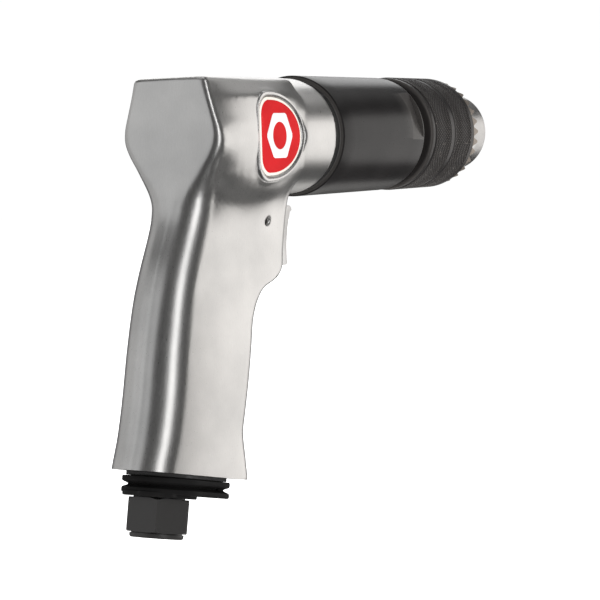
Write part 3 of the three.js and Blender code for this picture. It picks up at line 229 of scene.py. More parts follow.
# Lacquer, rubber, resin and felt share a matt recipe.
def softFinish(name, look):
    made, tree, shader, place = startFinish(name)
    fine = grain(tree, stretched(tree, place, look.get("drawn", (1, 1, 1))), look["grain"], 6, 0.65)
    colour = ramp(tree, grain(tree, place, look["cloud"], 4), ((0.3, look["dark"]), (0.7, look["light"])))
    colour = blended(tree, wornEdges(tree, 0.54, 0.66), colour, look["worn"])
    tree.links.new(colour, shader.inputs["Base Color"])
    low, high = look["rough"]
    tree.links.new(spread(tree, fine, low, high), shader.inputs["Roughness"])
    if look.get("sheen"):
        shader.inputs["Sheen Weight"].default_value = look["sheen"]
    shader.inputs["Specular IOR Level"].default_value = look.get("gloss", 0.5)
    bumped(tree, shader, fine, look["bump"], look["depth"])
    return made


enamelLook = {"cloud": 120, "grain": 500, "dark": (0.42, 0.004, 0.006), "light": (0.50, 0.007, 0.010),
              "worn": (0.52, 0.02, 0.02), "rough": (0.42, 0.52), "gloss": 0.05,
              "bump": 0.02, "depth": 0.00004}
creamLook = dict(enamelLook, dark=(0.64, 0.61, 0.55), light=(0.70, 0.68, 0.62), worn=(0.72, 0.7, 0.66))
whiteLook = dict(enamelLook, dark=(0.62, 0.63, 0.64), light=(0.70, 0.71, 0.72), worn=(0.72, 0.72, 0.72))
rubberLook = {"cloud": 90, "grain": 1800, "dark": (0.010, 0.010, 0.010), "light": (0.022, 0.021, 0.020),
              "worn": (0.05, 0.05, 0.05), "rough": (0.6, 0.8), "bump": 0.25, "depth": 0.00006}
resinLook = {"cloud": 200, "grain": 2000, "drawn": (0.1, 1, 1),
             "dark": (0.20, 0.10, 0.045), "light": (0.34, 0.19, 0.09), "worn": (0.42, 0.26, 0.14),
             "rough": (0.5, 0.7), "bump": 0.3, "depth": 0.00006}
feltLook = {"cloud": 300, "grain": 2600, "dark": (0.20, 0.185, 0.165), "light": (0.36, 0.34, 0.31),
            "worn": (0.42, 0.4, 0.37), "rough": (0.85, 1.0), "sheen": 0.3, "bump": 0.9, "depth": 0.0002}

redEnamel = softFinish("redEnamel", enamelLook)
creamEnamel = softFinish("creamEnamel", creamLook)
whiteEnamel = softFinish("whiteEnamel", whiteLook)
blackRubber = softFinish("blackRubber", rubberLook)
vaneResin = softFinish("vaneResin", resinLook)
greyFelt = softFinish("greyFelt", feltLook)

slotFinish = {     # the finish of each material slot of the record
    "housing_aluminium": castAluminium, "black_steel": blackedSteel, "satin_steel": satinSteel,
    "gear_steel": gearSteel, "spring_steel": springWire, "vane_resin": vaneResin, "badge_enamel": redEnamel,
    "black_rubber": blackRubber, "grey_felt": greyFelt, "valve_brass": valveBrass,
}
print("finishes made")


# ---- mesh work ----
def meshObject(name, verts, faces, place=None):
    mesh = bpy.data.meshes.new(name)
    mesh.from_pydata([tuple(v) for v in verts], [], faces)
    mesh.validate()
    made = bpy.data.objects.new(name, mesh)
    bpy.context.scene.collection.objects.link(made)
    work = bmesh.new()
    work.from_mesh(mesh)
    bmesh.ops.remove_doubles(work, verts=work.verts, dist=1e-5)
    bmesh.ops.recalc_face_normals(work, faces=work.faces)
    work.to_mesh(mesh)
    work.free()
    if place:
        mesh.transform(place)
    return made


# Rings of points joined round in a closed loop, such as a rim.
def looped(name, rings, place=None):
    count = len(rings[0])
    verts = [p for ring in rings for p in ring]
    faces = []
    for k in range(len(rings)):
        n = (k + 1) % len(rings)
        for i in range(count):
            j = (i + 1) % count
            faces.append((k * count + i, k * count + j, n * count + j, n * count + i))
    return meshObject(name, verts, faces, place)


# A turned piece about X; each point is (x, radius) and the profile closes on itself.
def turned(name, points, sides=128, place=None):
    rings = []
    for i in range(sides):
        angle = 2 * math.pi * i / sides
        rings.append([(x, r * math.cos(angle), r * math.sin(angle)) for x, r in points])
    return looped(name, rings, place)


# Rings of points stacked into a closed skin.
def stacked(name, rings, place=None):
    count = len(rings[0])
    verts = [p for ring in rings for p in ring]
    faces = []
    for k in range(len(rings) - 1):
        for i in range(count):
            j = (i + 1) % count
            faces.append((k * count + i, k * count + j, (k + 1) * count + j, (k + 1) * count + i))
    faces.append(tuple(reversed(range(count))))
    faces.append(tuple((len(rings) - 1) * count + i for i in range(count)))
    return meshObject(name, verts, faces, place)


def cuboid(low, high, place=None, name="tool"):
    verts = [(x, y, z) for x in (low[0], high[0]) for y in (low[1], high[1]) for z in (low[2], high[2])]
    faces = [(0, 1, 3, 2), (4, 6, 7, 5), (0, 4, 5, 1), (2, 3, 7, 6), (0, 2, 6, 4), (1, 5, 7, 3)]
    return meshObject(name, verts, faces, place)


# A round bar between two points.
def bar(start, end, radius, sides=48, name="tool"):
    start, end = Vector(start), Vector(end)
    along = end - start
    turn = along.to_track_quat("X", "Z").to_matrix().to_4x4()
    points = [(0, 0), (0, radius), (along.length, radius), (along.length, 0)]
    return turned(name, points, sides, Matrix.Translation(start) @ turn)


# A round bar square to the foot's face, this far ahead of the handle's own line.
def footBar(ahead, low, high, radius, sides=48):
    return bar(footToDrill @ Vector((ahead, 0, low)), footToDrill @ Vector((ahead, 0, high)), radius, sides)


def applyAll(piece):
    bpy.context.view_layer.update()
    graph = bpy.context.evaluated_depsgraph_get()
    fresh = bpy.data.meshes.new_from_object(piece.evaluated_get(graph))
    old = piece.data
    piece.modifiers.clear()
    piece.data = fresh
    bpy.data.meshes.remove(old)
    return piece


def combine(piece, tools, kind="DIFFERENCE"):
    for tool in tools:
        step = piece.modifiers.new("cut", "BOOLEAN")
        step.operation = kind
        step.solver = "EXACT"
        step.object = tool
        applyAll(piece)
        bpy.data.objects.remove(tool)
    return piece


def softenEdges(piece, width, segments=3, angle=28):
    step = piece.modifiers.new("edges", "BEVEL")
    step.width = width
    step.segments = segments
    step.limit_method = "ANGLE"
    step.angle_limit = math.radians(angle)
    step.use_clamp_overlap = True
    return applyAll(piece)


def shadeSmooth(piece, angle=32):
    mesh = piece.data
    mesh.polygons.foreach_set("use_smooth", [True] * len(mesh.polygons))
    mesh.set_sharp_from_angle(angle=math.radians(angle))


# Puts a piece made in millimetres into the row, gives it its finish, hangs it on its body and hides the frame
# parts it replaces.
def place(piece, body, finish, slotName, *nodes, angle=32):
    piece.data.transform(toRow)
    piece.data.materials.clear()
    piece.data.materials.append(finish)
    shadeSmooth(piece, angle)
    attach(piece, body)
    if nodes:
        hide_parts(*nodes)
    return piece


def arc(cx, cr, radius, start, end, steps=6):
    points = []
    for i in range(steps + 1):
        angle = math.radians(start + (end - start) * i / steps)
        points.append((cx + radius * math.cos(angle), cr + radius * math.sin(angle)))
    return points


def eased(value, low, high):
    share = min(max((value - low) / (high - low), 0), 1)
    return share * share * (3 - 2 * share)


# ---- housing ----
housingSizes = {
    "headLength": 76, "headTop": 19.8, "headEnd": -12, "headHalfWidth": 20, "backHalfWidth": 18.9,
    "topRound": 1.4, "innerCorner": 3, "noseRadius": 20.37, "noseLength": 34, "noseTaper": (13, 1.8),
    "noseEdge": 0.55, "motorBore": 17, "motorBack": -66.5, "neckAhead": 24, "neckDrop": 22,
    "neckHalfWidth": 12, "bossReach": 32.5, "bossDrop": 44, "bossLean": 7, "frontRound": (5, 4),
    "handleLength": 61, "handleHalfWidth": 15.2, "handleBackHalfWidth": 11.2, "handleLean": 18,
    "pocketGap": 1.2, "pocketHalfWidth": 8.3, "pocketLow": -45.2, "pocketHigh": -23.3,
    "chamberGap": 0.6, "chamberHalfWidth": 4.4, "chamberHalfHeight": 6.9, "springHole": 5,
    "inletHole": 8.6, "exhaustHole": 6.9, "pinHole": 1.35, "badgeGap": 0.3, "badgeInset": 0.7,
    "ringSteps": (0.25, 0.9), "footTrim": 1.8, "voxel": 0.6, "smoothing": 9,
}
triggerSizes = {
    "travel": 6, "halfWidth": 7.5, "height": 20.5, "topDrop": 24, "reach": 8.4, "wall": 3,
    "lugHalfWidth": 3.5, "lugLength": 26, "lugHeight": 12, "lugDrop": 1.5, "lugInset": 4,
    "hollowHalfWidth": 5.9, "hollowInset": 1.6, "pinRadius": 1.1, "pinBehind": 17.2, "pinBelow": 4.4,
    "gap": 0.3, "paddleBehind": 4,
}
sizes = housingSizes
neckX = -sizes["headLength"] + sizes["neckAhead"]
bossFront = neckX + sizes["bossReach"]
lugZ = -triggerSizes["topDrop"] - triggerSizes["lugDrop"] - triggerSizes["lugHeight"] / 2
lugBack = (bossFront + triggerSizes["reach"] - triggerSizes["wall"] - triggerSizes["lugInset"]
           - triggerSizes["lugLength"])
chamberFront = lugBack - triggerSizes["travel"] - triggerSizes["gap"]
pinSpot = (bossFront - triggerSizes["pinBehind"], -triggerSizes["topDrop"] - triggerSizes["pinBelow"])


def leaningX(z):
    return neckX + (z + sizes["neckDrop"]) * math.tan(math.radians(sizes["handleLean"]))


def down(share):
    return -(sizes["bossDrop"] + share * sizes["handleLength"])


lowest = down(1.14)


# A smooth curve through (height, value) points, highest first.
def smoothThrough(points):
    slopes = []
    for i in range(len(points)):
        before, after = points[max(i - 1, 0)], points[min(i + 1, len(points) - 1)]
        slopes.append((after[1] - before[1]) / (after[0] - before[0]))

    def value(z):
        i = next((n for n in range(1, len(points)) if z >= points[n][0]), len(points) - 1)
        (z0, v0), (z1, v1) = points[i - 1], points[i]
        span = z1 - z0
        t = min(max((z - z0) / span, 0), 1.6)     # runs a little past the last point
        return (v0 * (2 * t ** 3 - 3 * t ** 2 + 1) + slopes[i - 1] * span * (t ** 3 - 2 * t ** 2 + t)
                + v1 * (3 * t ** 2 - 2 * t ** 3) + slopes[i] * span * (t ** 3 - t ** 2))
    return value


half, back = sizes["headHalfWidth"], sizes["backHalfWidth"]
neck, grip, gripBack = sizes["neckHalfWidth"], sizes["handleHalfWidth"], sizes["handleBackHalfWidth"]
handleBack = smoothThrough([
    (-sizes["neckDrop"], -24.2), (-32.6, -25.3), (down(-0.06), -26.2), (down(0.12), -27.2),
    (down(0.37), -26.7), (down(0.62), -25.2), (down(0.82), -24.9), (down(0.94), -25.7),
    (down(1.02), -26), (lowest, -26)])
handleFront = smoothThrough([
    (down(0), 36.8), (down(0.03), 36.2), (down(0.07), 33), (down(0.105), 25.9), (down(0.145), 23.2),
    (down(0.185), 21.5), (down(0.27), 20), (down(0.4), 20.3), (down(0.62), 21.1), (down(0.75), 21.4),
    (down(0.87), 21.6), (down(1), 24.7), (lowest, 28.2)])
frontWidth = smoothThrough([
    (sizes["headTop"], back * 0.7), (14, back * 0.84), (8, half * 0.93), (1, half), (-5, half * 0.97),
    (-10, half * 0.86), (-15, half * 0.72), (-20, neck + 1), (-26, neck + 0.2), (-36, neck),
    (down(0), neck + 0.6), (down(0.25), grip - 1), (down(0.5), grip - 0.2), (down(0.8), grip),
    (lowest, grip + 0.6)])
backWidth = smoothThrough([
    (sizes["headTop"], back * 0.73), (14, back * 0.8), (8, back * 0.895), (3, back * 0.98), (-1, back),
    (-5, back * 0.935), (-11, back * 0.775), (-20, gripBack), (-26, gripBack - 0.6),
    (down(0), gripBack - 0.5), (down(0.35), gripBack - 0.4), (down(0.65), gripBack - 0.2),
    (lowest, gripBack - 0.5)])
backCorner = smoothThrough([
    (sizes["headTop"], 1.6), (8, 1.9), (-1, 3.2), (-11, 5.2), (-20, 8.2), (-36, 9.4), (down(0.12), 9.3),
    (down(0.62), 9.6), (lowest, 9.6)])
sideSwell = smoothThrough([      # the head's sides fill out round the badges
    (sizes["headTop"], 0.2), (17, 1.9), (13.5, 3.1), (10, 2.1), (6, 1), (1, 0.1), (-5, 0.7), (-9, 2.3),
    (-13, 4.1), (-17, 4.2), (-22, 2.2), (-28, 0.6), (-34, 0), (lowest, 0)])


# The housing's outline at one height: four rounded corners joined by slightly crowned sides.
def sectionRing(z, steps=12, sideSteps=14):
    inHead = z > -sizes["neckDrop"]
    edge = max(0, 1 - (sizes["headTop"] - z) / sizes["topRound"])
    inset = sizes["topRound"] * (1 - math.sqrt(max(0, 1 - edge * edge)))
    headFront = sizes["headEnd"] - (z - 8) * 0.5 if z > 8 else sizes["headEnd"]
    bossX = bossFront + (z + sizes["neckDrop"]) * math.tan(math.radians(sizes["bossLean"]))
    front = bossX if z > -sizes["bossDrop"] else leaningX(z) + handleFront(z)
    if inHead:
        front = bossX + (headFront - bossX) * eased(z, -sizes["neckDrop"], -9) - inset
    lean = leaningX(z) + handleBack(z) - 2 * eased(-z, 20, 44)
    meeting = math.hypot(lean + sizes["headLength"], sizes["innerCorner"])     # soft inner corner
    rear = (lean - sizes["headLength"] - meeting) / 2 + inset
    least, added = sizes["frontRound"]
    frontRound = least + added * eased(-z, sizes["neckDrop"], sizes["bossDrop"] + 16)
    backHalf, frontHalf, backRound = backWidth(z) - inset, frontWidth(z) - inset, backCorner(z)
    corners = [(rear, -backHalf, backRound), (front, -frontHalf, frontRound),
               (front, frontHalf, frontRound), (rear, backHalf, backRound)]
    points = []
    for i, (x, y, r) in enumerate(corners):
        corner = Vector((x, y))
        before, after = Vector(corners[(i + 3) % 4][:2]), Vector(corners[(i + 1) % 4][:2])
        toBefore, toAfter = (before - corner).normalized(), (after - corner).normalized()
        for n in range(steps + 1):
            angle = n / steps * math.pi / 2
            points.append(corner + toBefore * r * (1 - math.sin(angle)) + toAfter * r * (1 - math.cos(angle)))
        start = points[-1]
        end = after - toAfter * corners[(i + 1) % 4][2]
        outwards = Vector((toAfter.y, -toAfter.x))
        crown = 0.5 + sideSwell(z) if i in (0, 2) else 0.3
        for n in range(1, sideSteps):
            t = n / sideSteps
            points.append(start.lerp(end, t) + outwards * crown * 4 * t * (1 - t))
    return [(p.x, p.y, z) for p in points]


badgeSizes = {"behind": 53.6, "length": 31.6, "height": 30, "seat": 19.6, "deep": 1.2, "corner": 6.5,
              "nutAhead": 14.6, "nutRise": 0.2, "nutRadius": 8.6, "nutCorner": 8.3, "roundBelow": 6}
badgeFlare = ((-2.2, 15.6), (-1.7, 16.8), (-1.1, 17.8), (-0.5, 18.5), (0, 19), (0.5, 19.15))


# The D outline of a badge, drawn in by inset: flat to the rear, round to the front.
def badgeRing(inset, y, fine=28):
    halfHeight = badgeSizes["height"] / 2 - inset
    rear = -badgeSizes["behind"] + inset
    front = -badgeSizes["behind"] + badgeSizes["length"] - inset
    corner = badgeSizes["corner"] - inset * 0.5
    points = []

    def bow(cx, cz, rx, rz, start, end, steps):
        for n in range(steps + 1):
            angle = math.radians(start + (end - start) * n / steps)
            points.append((cx + rx * math.cos(angle), y, cz + rz * math.sin(angle)))
    bow(rear + corner, -halfHeight + corner, corner, corner, 180, 266, fine // 2)
    bow(rear + corner + 1, 0, front - rear - corner - 1, halfHeight, -84, 84, fine * 2)
    bow(rear + corner, halfHeight - corner, corner, corner, 94, 180, fine // 2)
    return points


def badgeBlock(inset, y0, y1, name="tool"):
    return stacked(name, [badgeRing(inset, y0), badgeRing(inset, y1)])


def belowFoot(top):
    return cuboid((-90, -40, -60), (90, 40, top), footToDrill)


def makeHousing():
    heights = []
    z = sizes["headTop"]
    while z > lowest:
        heights.append(z)
        z -= sizes["ringSteps"][0 if z > sizes["headTop"] - sizes["topRound"] else 1]
    body = stacked("motorHousing", [sectionRing(h) for h in reversed(heights)])
    radius, noseBack, edge = sizes["noseRadius"], -sizes["noseLength"], sizes["noseEdge"]
    taperLength, taperDepth = sizes["noseTaper"]
    nose = turned("nose", [(noseBack, 0), (noseBack, radius - taperDepth), (noseBack + taperLength, radius),
                           (-edge, radius), (0, radius - edge), (0, 0)], 160)
    seats = [stacked("seat", [badgeRing(inset, side * y) for inset, y in badgeFlare]) for side in (-1, 1)]
    combine(body, [nose, *seats], "UNION")
    pocketBack = bossFront - triggerSizes["paddleBehind"] - triggerSizes["travel"] - sizes["pocketGap"]
    pocketHalf, chamberHalf, chamberTall = (
        sizes["pocketHalfWidth"], sizes["chamberHalfWidth"], sizes["chamberHalfHeight"])
    tools = [
        belowFoot(-sizes["footTrim"]),
        bar((sizes["motorBack"], 0, 0), (2, 0, 0), sizes["motorBore"], 96),
        cuboid((pocketBack, -pocketHalf, sizes["pocketLow"]), (0, pocketHalf, sizes["pocketHigh"])),
        cuboid((chamberFront - sizes["chamberGap"], -chamberHalf, lugZ - chamberTall),
               (0, chamberHalf, lugZ + chamberTall)),
        bar((chamberFront - 20, 0, lugZ), (chamberFront + 1, 0, lugZ), sizes["springHole"]),
        footBar(-footSizes["inletBehind"], -6, 18, sizes["inletHole"]),
        footBar(footSizes["exhaustAhead"], -6, 46, sizes["exhaustHole"]),
        bar((pinSpot[0], -30, pinSpot[1]), (pinSpot[0], 30, pinSpot[1]), sizes["pinHole"], 32),
    ]
    badgeFloor = badgeSizes["seat"] - badgeSizes["deep"] - sizes["badgeGap"]
    for side in (-1, 1):
        tools.append(badgeBlock(sizes["badgeInset"], *sorted((side * badgeFloor, side * 26))))
    combine(body, tools)
    remesh = body.modifiers.new("cast", "REMESH")
    remesh.mode = "VOXEL"
    remesh.voxel_size = sizes["voxel"]
    applyAll(body)
    smooth = body.modifiers.new("smooth", "SMOOTH")
    smooth.factor = 0.5
    smooth.iterations = sizes["smoothing"]
    applyAll(body)
    combine(body, [belowFoot(0)])     # the machined end of the handle
    return place(body, "housing", castAluminium, "housing_aluminium", "motor_housing", angle=60)


housing = makeHousing()
print("housing made", len(housing.data.polygons))


# Each badge: a rounded metal rim, a cream plate, a red field and a plain nut outline.
# The points of a layer are (inset from the outline, depth below the seat); the nut's are (radius, depth).
badgeShapes = {
    "rim": ((0.02, 3), (0.02, 0.42), (0.1, 0.16), (0.3, 0.02), (0.6, 0), (1.0, 0.06), (1.5, 0.34),
            (1.86, 0.75), (1.88, 1.5), (1.4, 3)),
    "plate": ((1.95, 1.19), (1.95, 0.62), (2.02, 0.5), (2.2, 0.45), (3.0, 0.42)),
    "field": ((2.95, 0.8), (2.95, 0.36), (3.05, 0.31), (3.4, 0.29), (6, 0.25)),
    "nut": ((8.6, 0.4), (8.6, 0.17), (8.45, 0.12), (4.75, 0.12), (4.6, 0.17), (4.6, 0.4)),
}


def makeBadge(side, label):
    seat, outer = badgeSizes["seat"], badgeSizes["nutRadius"]

    def layer(kind):
        return [badgeRing(inset, side * (seat - depth)) for inset, depth in badgeShapes[kind]]

    rim = looped("badgeRim" + label, layer("rim"))
    place(rim, "housing", turnedAluminium, "housing_aluminium", angle=50)
    plate = stacked("badgePlate" + label, layer("plate"))
    place(plate, "housing", creamEnamel, "badge_enamel", "badge_" + label)
    field = stacked("badgeField" + label, layer("field"))
    place(field, "housing", redEnamel, "badge_enamel")
    middle = (-badgeSizes["behind"] + badgeSizes["nutAhead"], badgeSizes["nutRise"])
    rings = []
    for radius, depth in badgeShapes["nut"]:
        ring = []
        for n in range(96):
            angle = 2 * math.pi * n / 96
            flat = outer * math.cos(math.pi / 6) / math.cos((angle % (math.pi / 3)) - math.pi / 6)
            isRound = radius < badgeSizes["roundBelow"]     # the hole; the outside is a hexagon
            reach = radius if isRound else min(flat, badgeSizes["nutCorner"]) - (outer - radius)
            ring.append((middle[0] + reach * math.cos(angle), side * (seat - depth),
                         middle[1] + reach * math.sin(angle)))
        rings.append(ring)
    nut = looped("badgeNut" + label, rings)
    place(nut, "housing", whiteEnamel, "badge_enamel")


makeBadge(-1, "right")
makeBadge(1, "left")
print("badges made")

# ---- barrel ----
barrelSizes = {
    "radius": 21.47, "bore": 17.57, "length": 70, "grooveWidth": 3, "grooveDepth": 1.7, "spigot": 12.7,
    "spigotRadius": 16.7, "spigotBore": 14.7, "shoulder": 3, "rearEdge": 0.45, "flatLength": 8,
    "flatDepth": 1.9, "flatTurn": 19,
}
barrel = barrelSizes
grooveFloor = barrel["radius"] - barrel["grooveDepth"]


def makeBarrel():
    r, front, wide, edge = barrel["radius"], barrel["length"], barrel["grooveWidth"], barrel["rearEdge"]
    spigot, seat, bore = -barrel["spigot"], barrel["spigotRadius"], barrel["bore"]
    curve = barrel["shoulder"]
    points = [(spigot, barrel["spigotBore"]), (spigot, seat - 0.4), (spigot + 0.4, seat), (0, seat),
              (0.3, grooveFloor - 0.3), (0.5, grooveFloor), (wide - 0.3, grooveFloor),
              (wide, grooveFloor + 0.3), (wide, r - edge), *arc(wide + edge, r - edge, edge, 180, 90, 4),
              (12, r), (24, r), (36, r), (48, r), (58, r), *arc(front - curve, r - curve, curve, 90, 0, 10),
              (front, bore + 0.3), (front - 0.3, bore), (wide, bore), (wide, barrel["spigotBore"])]
    body = turned("gearBarrel", points, 160)
    for side in (0, 180):
        turn = Matrix.Rotation(math.radians(-barrel["flatTurn"] + side), 4, "X")
        low = (front - curve - barrel["flatLength"], -30, -20)
        combine(body, [cuboid(low, (front - curve, -r + barrel["flatDepth"], 20), turn)])
    softenEdges(body, 0.12, 2, 25)
    return place(body, "housing", blackedSteel, "black_steel", "gear_case", angle=25)


makeBarrel()
# A thin ring of matt black laid on the groove floor: painted shade that darkens the barrel's groove where shade
# falls.
bandShape = ((0.45, -0.05), (0.45, 0.05), (0.55, 0.08), (2.65, 0.08), (2.75, 0.05), (2.75, -0.05))
band = turned("paintedGrooveShade", [(x, grooveFloor + rise) for x, rise in bandShape], 160)
place(band, "housing", blackRubber, "black_steel")
print("barrel made")

# ---- front cap and seal of the barrel ----
capSizes = {"outer": 17.27, "inner": 11.1, "back": 63.8, "front": 69.7, "seal": 10.8, "sealBack": 65,
            "shaft": 8.8}
inner, outer, capFront = capSizes["inner"], capSizes["outer"], capSizes["front"]
cap = turned("barrelCap", [(capSizes["back"], inner), (capSizes["back"], outer), (69.3, outer),
                           (capFront, outer - 0.4), (capFront, inner + 1.2), (69.3, inner + 0.5),
                           (68.6, inner)], 96)
place(cap, "housing", blackedSteel, "black_steel", "front_cap")
sealBack, sealRadius, shaft = capSizes["sealBack"], capSizes["seal"], capSizes["shaft"]
seal = turned("barrelSeal", [(sealBack, shaft), (sealBack, sealRadius), (69.2, sealRadius),
                             (69.4, sealRadius - 0.3), (68.7, 9.9), (69.3, 9.2), (68.9, shaft)], 96)
place(seal, "housing", blackRubber, "black_rubber", "dust_seal")

# ---- chuck ----
chuckSizes = {
    "start": 74.4, "end": 118.2, "radius": 21.8, "bodyRadius": 17.8, "noseRadius": 15.5, "noseEnd": 139,
    "bore": 7, "teeth": 32, "toothDepth": 4, "toothShare": 0.94, "rimDepth": 0.7, "bevel": 2.4,
    "bevelRadius": 15.85, "jawAngle": 15, "jawRadius": 2.9, "jawLength": 38.3, "jawTravel": 21.25,
    "keyHole": 3.1, "nutMiddle": 106.5, "nutWidth": 4.4, "nutDepth": 3.1, "knurlPitches": 100,
    "knurlPitch": 1.6, "knurlDepth": 0.22, "knurlStep": 0.26, "shellBore": 19.8, "gap": 0.3,
}
chuck = chuckSizes
lip = chuck["start"] + 2
toothRoot = chuck["end"] - chuck["toothDepth"]
rim = chuck["radius"] - chuck["rimDepth"]
land = chuck["bodyRadius"] - 2 + chuck["gap"]
nutEnd = chuck["nutMiddle"] + chuck["nutWidth"] / 2 + chuck["gap"]


# The knurled shell: a smooth rolled lip, a knurled band, a plain waist, a second band and a plain border.
def makeKnurledShell():
    skin, start, bore = chuck["radius"], chuck["start"], chuck["shellBore"]
    join = toothRoot - 1.6
    bands = [(lip + 2.4, lip + 15.4), (lip + 19.2, join - 2.6)]
    outer = [(start, skin - 1.5), (start + 0.12, skin - 0.95), (start + 0.5, skin - 0.42),
             (start + 1.0, skin - 0.22), (lip, skin - 0.2), (lip + 0.9, skin - 0.2), (lip + 1.3, skin - 0.5),
             (lip + 1.9, skin - 0.5), (lip + 2.3, skin - 0.12)]
    x = bands[0][0]
    while x < join - 0.1:
        waist = bands[0][1] + 0.4 < x < bands[1][0] - 0.4
        outer.append((x, skin - 0.22 if waist else skin))
        x += chuck["knurlStep"]
    outer += [(join - 0.06, skin - 0.05), (join, skin - 0.25)]
    inner = [(join, land + 1), (nutEnd + 2, land + 1), (nutEnd + 2, bore), (start + 1.7, bore),
             (start + 1.7, 12), (start, 12), (start, 18)]
    sides, rings = 600, []
    for i in range(sides):
        angle = 2 * math.pi * i / sides
        ring = []
        for k, (px, pr) in enumerate(outer + inner):
            radius = pr
            ends = [min(abs(px - low), abs(px - high)) for low, high in bands if low <= px <= high]
            if k < len(outer) and ends:
                along = 2 * math.pi * (px - bands[0][0]) / chuck["knurlPitch"]
                around = angle * chuck["knurlPitches"]
                first = abs(math.sin((around + along) / 2))
                second = abs(math.sin((around - along) / 2))
                fade = min(1, ends[0] / 0.5)     # shallower towards the ends of a band
                radius = pr - chuck["knurlDepth"] * 2 * (1 - min(first, second)) ** 2 * fade
            ring.append((px, radius * math.cos(angle), radius * math.sin(angle)))
        rings.append(ring)
    shell = looped("knurledSleeve", rings)
    return place(shell, "key_sleeve", knurledSteel, "black_steel", "chuck_sleeve", angle=50)


# The toothed front of the sleeve that the chuck key drives.
def makeKeyTeeth():
    skin, end = chuck["radius"], chuck["end"]
    join = toothRoot - 1.55
    points = [(join, land), (join, skin - 0.35), (join + 0.3, skin - 0.12), (toothRoot - 0.9, skin - 0.25),
              (toothRoot - 0.2, rim + 0.1), (toothRoot + 0.2, rim), (end - 0.2, rim), (end, rim - 0.15),
              (end + chuck["bevel"], chuck["bevelRadius"]), (end + 1.6, 15.8), (end - 3.4, 15.8),
              (end - 3.4, land)]
    ring = turned("keyTeeth", points, 192)
    halfPitch = math.pi * rim / chuck["teeth"] * chuck["toothShare"]
    for n in range(chuck["teeth"]):
        turn = Matrix.Rotation(2 * math.pi * (n + 0.5) / chuck["teeth"], 4, "X")
        outline = [(end + 3, -halfPitch * 1.5), (end + 3, halfPitch * 1.5),
                   (toothRoot + 0.1, halfPitch * 0.14), (toothRoot + 0.1, -halfPitch * 0.14)]
        verts = [(x, y, z) for z in (land + 1, rim + 2) for x, y in outline]
        faces = [(3, 2, 1, 0), (4, 5, 6, 7), (0, 1, 5, 4), (1, 2, 6, 5), (2, 3, 7, 6), (3, 0, 4, 7)]
        combine(ring, [meshObject("tool", verts, faces, turn)])
    softenEdges(ring, 0.1, 1, 30)
    return place(ring, "key_sleeve", toothSteel, "black_steel", angle=30)


# A point on a jaw's own line, this far back from the closed tip.
def jawLine(back, angle):
    turn = Matrix.Rotation(math.radians(angle), 3, "X")
    tip = Vector((chuck["noseEnd"] + 2, 0, 2))
    slope = math.radians(chuck["jawAngle"])
    way = Vector((math.cos(slope), 0, -math.sin(slope)))
    return turn @ (tip - way * back)


def makeChuckBody():
    r, nose, end, noseEnd = chuck["bodyRadius"], chuck["noseRadius"], chuck["end"], chuck["noseEnd"]
    nut0, nut1 = chuck["nutMiddle"] - 2.5, chuck["nutMiddle"] + 2.5
    nutFloor, start = r - chuck["nutDepth"], chuck["start"] + 2
    points = [(71.1, 0), (71.1, 9.6), (71.5, 10), (start, 10), (start, r), (nut0, r), (nut0, nutFloor),
              (nut1, nutFloor), (nut1, r - 2), (end - 4, r - 2), (end - 4, nose), (120, nose), (124, nose),
              (128, nose), (132, nose), *arc(noseEnd - 1.6, nose - 1.6, 1.6, 90, 0, 8), (noseEnd, 11.5),
              (noseEnd - 0.25, 11.2), (noseEnd - 0.25, 8), (noseEnd - 0.9, 7.1), (noseEnd - 1.2, 0)]
    body = turned("chuckBody", points, 160)
    tools = []
    keyX = end + 4.5
    for n in range(3):
        angle = 180 + 120 * n
        rear = jawLine(chuck["jawLength"] + chuck["jawTravel"] + 2, angle)
        tools.append(bar(rear, jawLine(-9, angle), chuck["jawRadius"] + chuck["gap"], 40))
        turn = Matrix.Rotation(math.radians(angle + 60), 3, "X")
        tools.append(bar(turn @ Vector((keyX, 0, 10.5)), turn @ Vector((keyX, 0, 30)), chuck["keyHole"], 40))
    # the bores from the rear: spindle socket, retaining screw, its head, then the bore for the bit
    for start, stop, radius, sides in ((70, 88.1, 6.65, 48), (87, 93.1, 3.3, 48), (90.1, 101.1, 5.5, 48),
                                       (100.1, noseEnd + 2, chuck["bore"], 64)):
        tools.append(bar((start, 0, 0), (stop, 0, 0), radius, sides))
    combine(body, tools)
    softenEdges(body, 0.15, 2, 32)
    return place(body, "spindle", satinSteel, "satin_steel", "chuck_body", angle=28)


def makeJaw(number, angle):
    rear = jawLine(chuck["jawLength"], 0)
    way = (jawLine(0, 0) - rear).normalized()
    jaw = bar(rear, jawLine(-3, 0), chuck["jawRadius"], 48, "jaw" + str(number))
    wide = 30 * math.tan(math.radians(60))
    verts = [(x, y, z) for x in (20, 160) for y, z in ((0, 0.45), (wide, 30), (-wide, 30))]
    wedge = meshObject("tool", verts, [(0, 1, 2), (5, 4, 3), (0, 3, 4, 1), (1, 4, 5, 2), (2, 5, 3, 0)])
    block = cuboid((rear.x - 5, -20, 0.75), (chuck["noseEnd"] + 2, 20, 40))
    combine(jaw, [wedge, block], "INTERSECT")
    jaw.data.transform(Matrix.Translation(-way * chuck["jawTravel"]))
    combine(jaw, [bar((0, 0, 0), (150, 0, 0), chuck["shellBore"] - 0.5, 96)], "INTERSECT")
    softenEdges(jaw, 0.12, 2, 32)
    jaw.data.transform(Matrix.Rotation(math.radians(angle), 4, "X"))
    return place(jaw, "chuck_jaw_" + str(number), satinSteel, "satin_steel", "jaw_" + str(number), angle=28)


makeKnurledShell()
makeKeyTeeth()
makeChuckBody()
for number in (1, 2, 3):
    makeJaw(number, 180 + 120 * (number - 1))
print("chuck made")


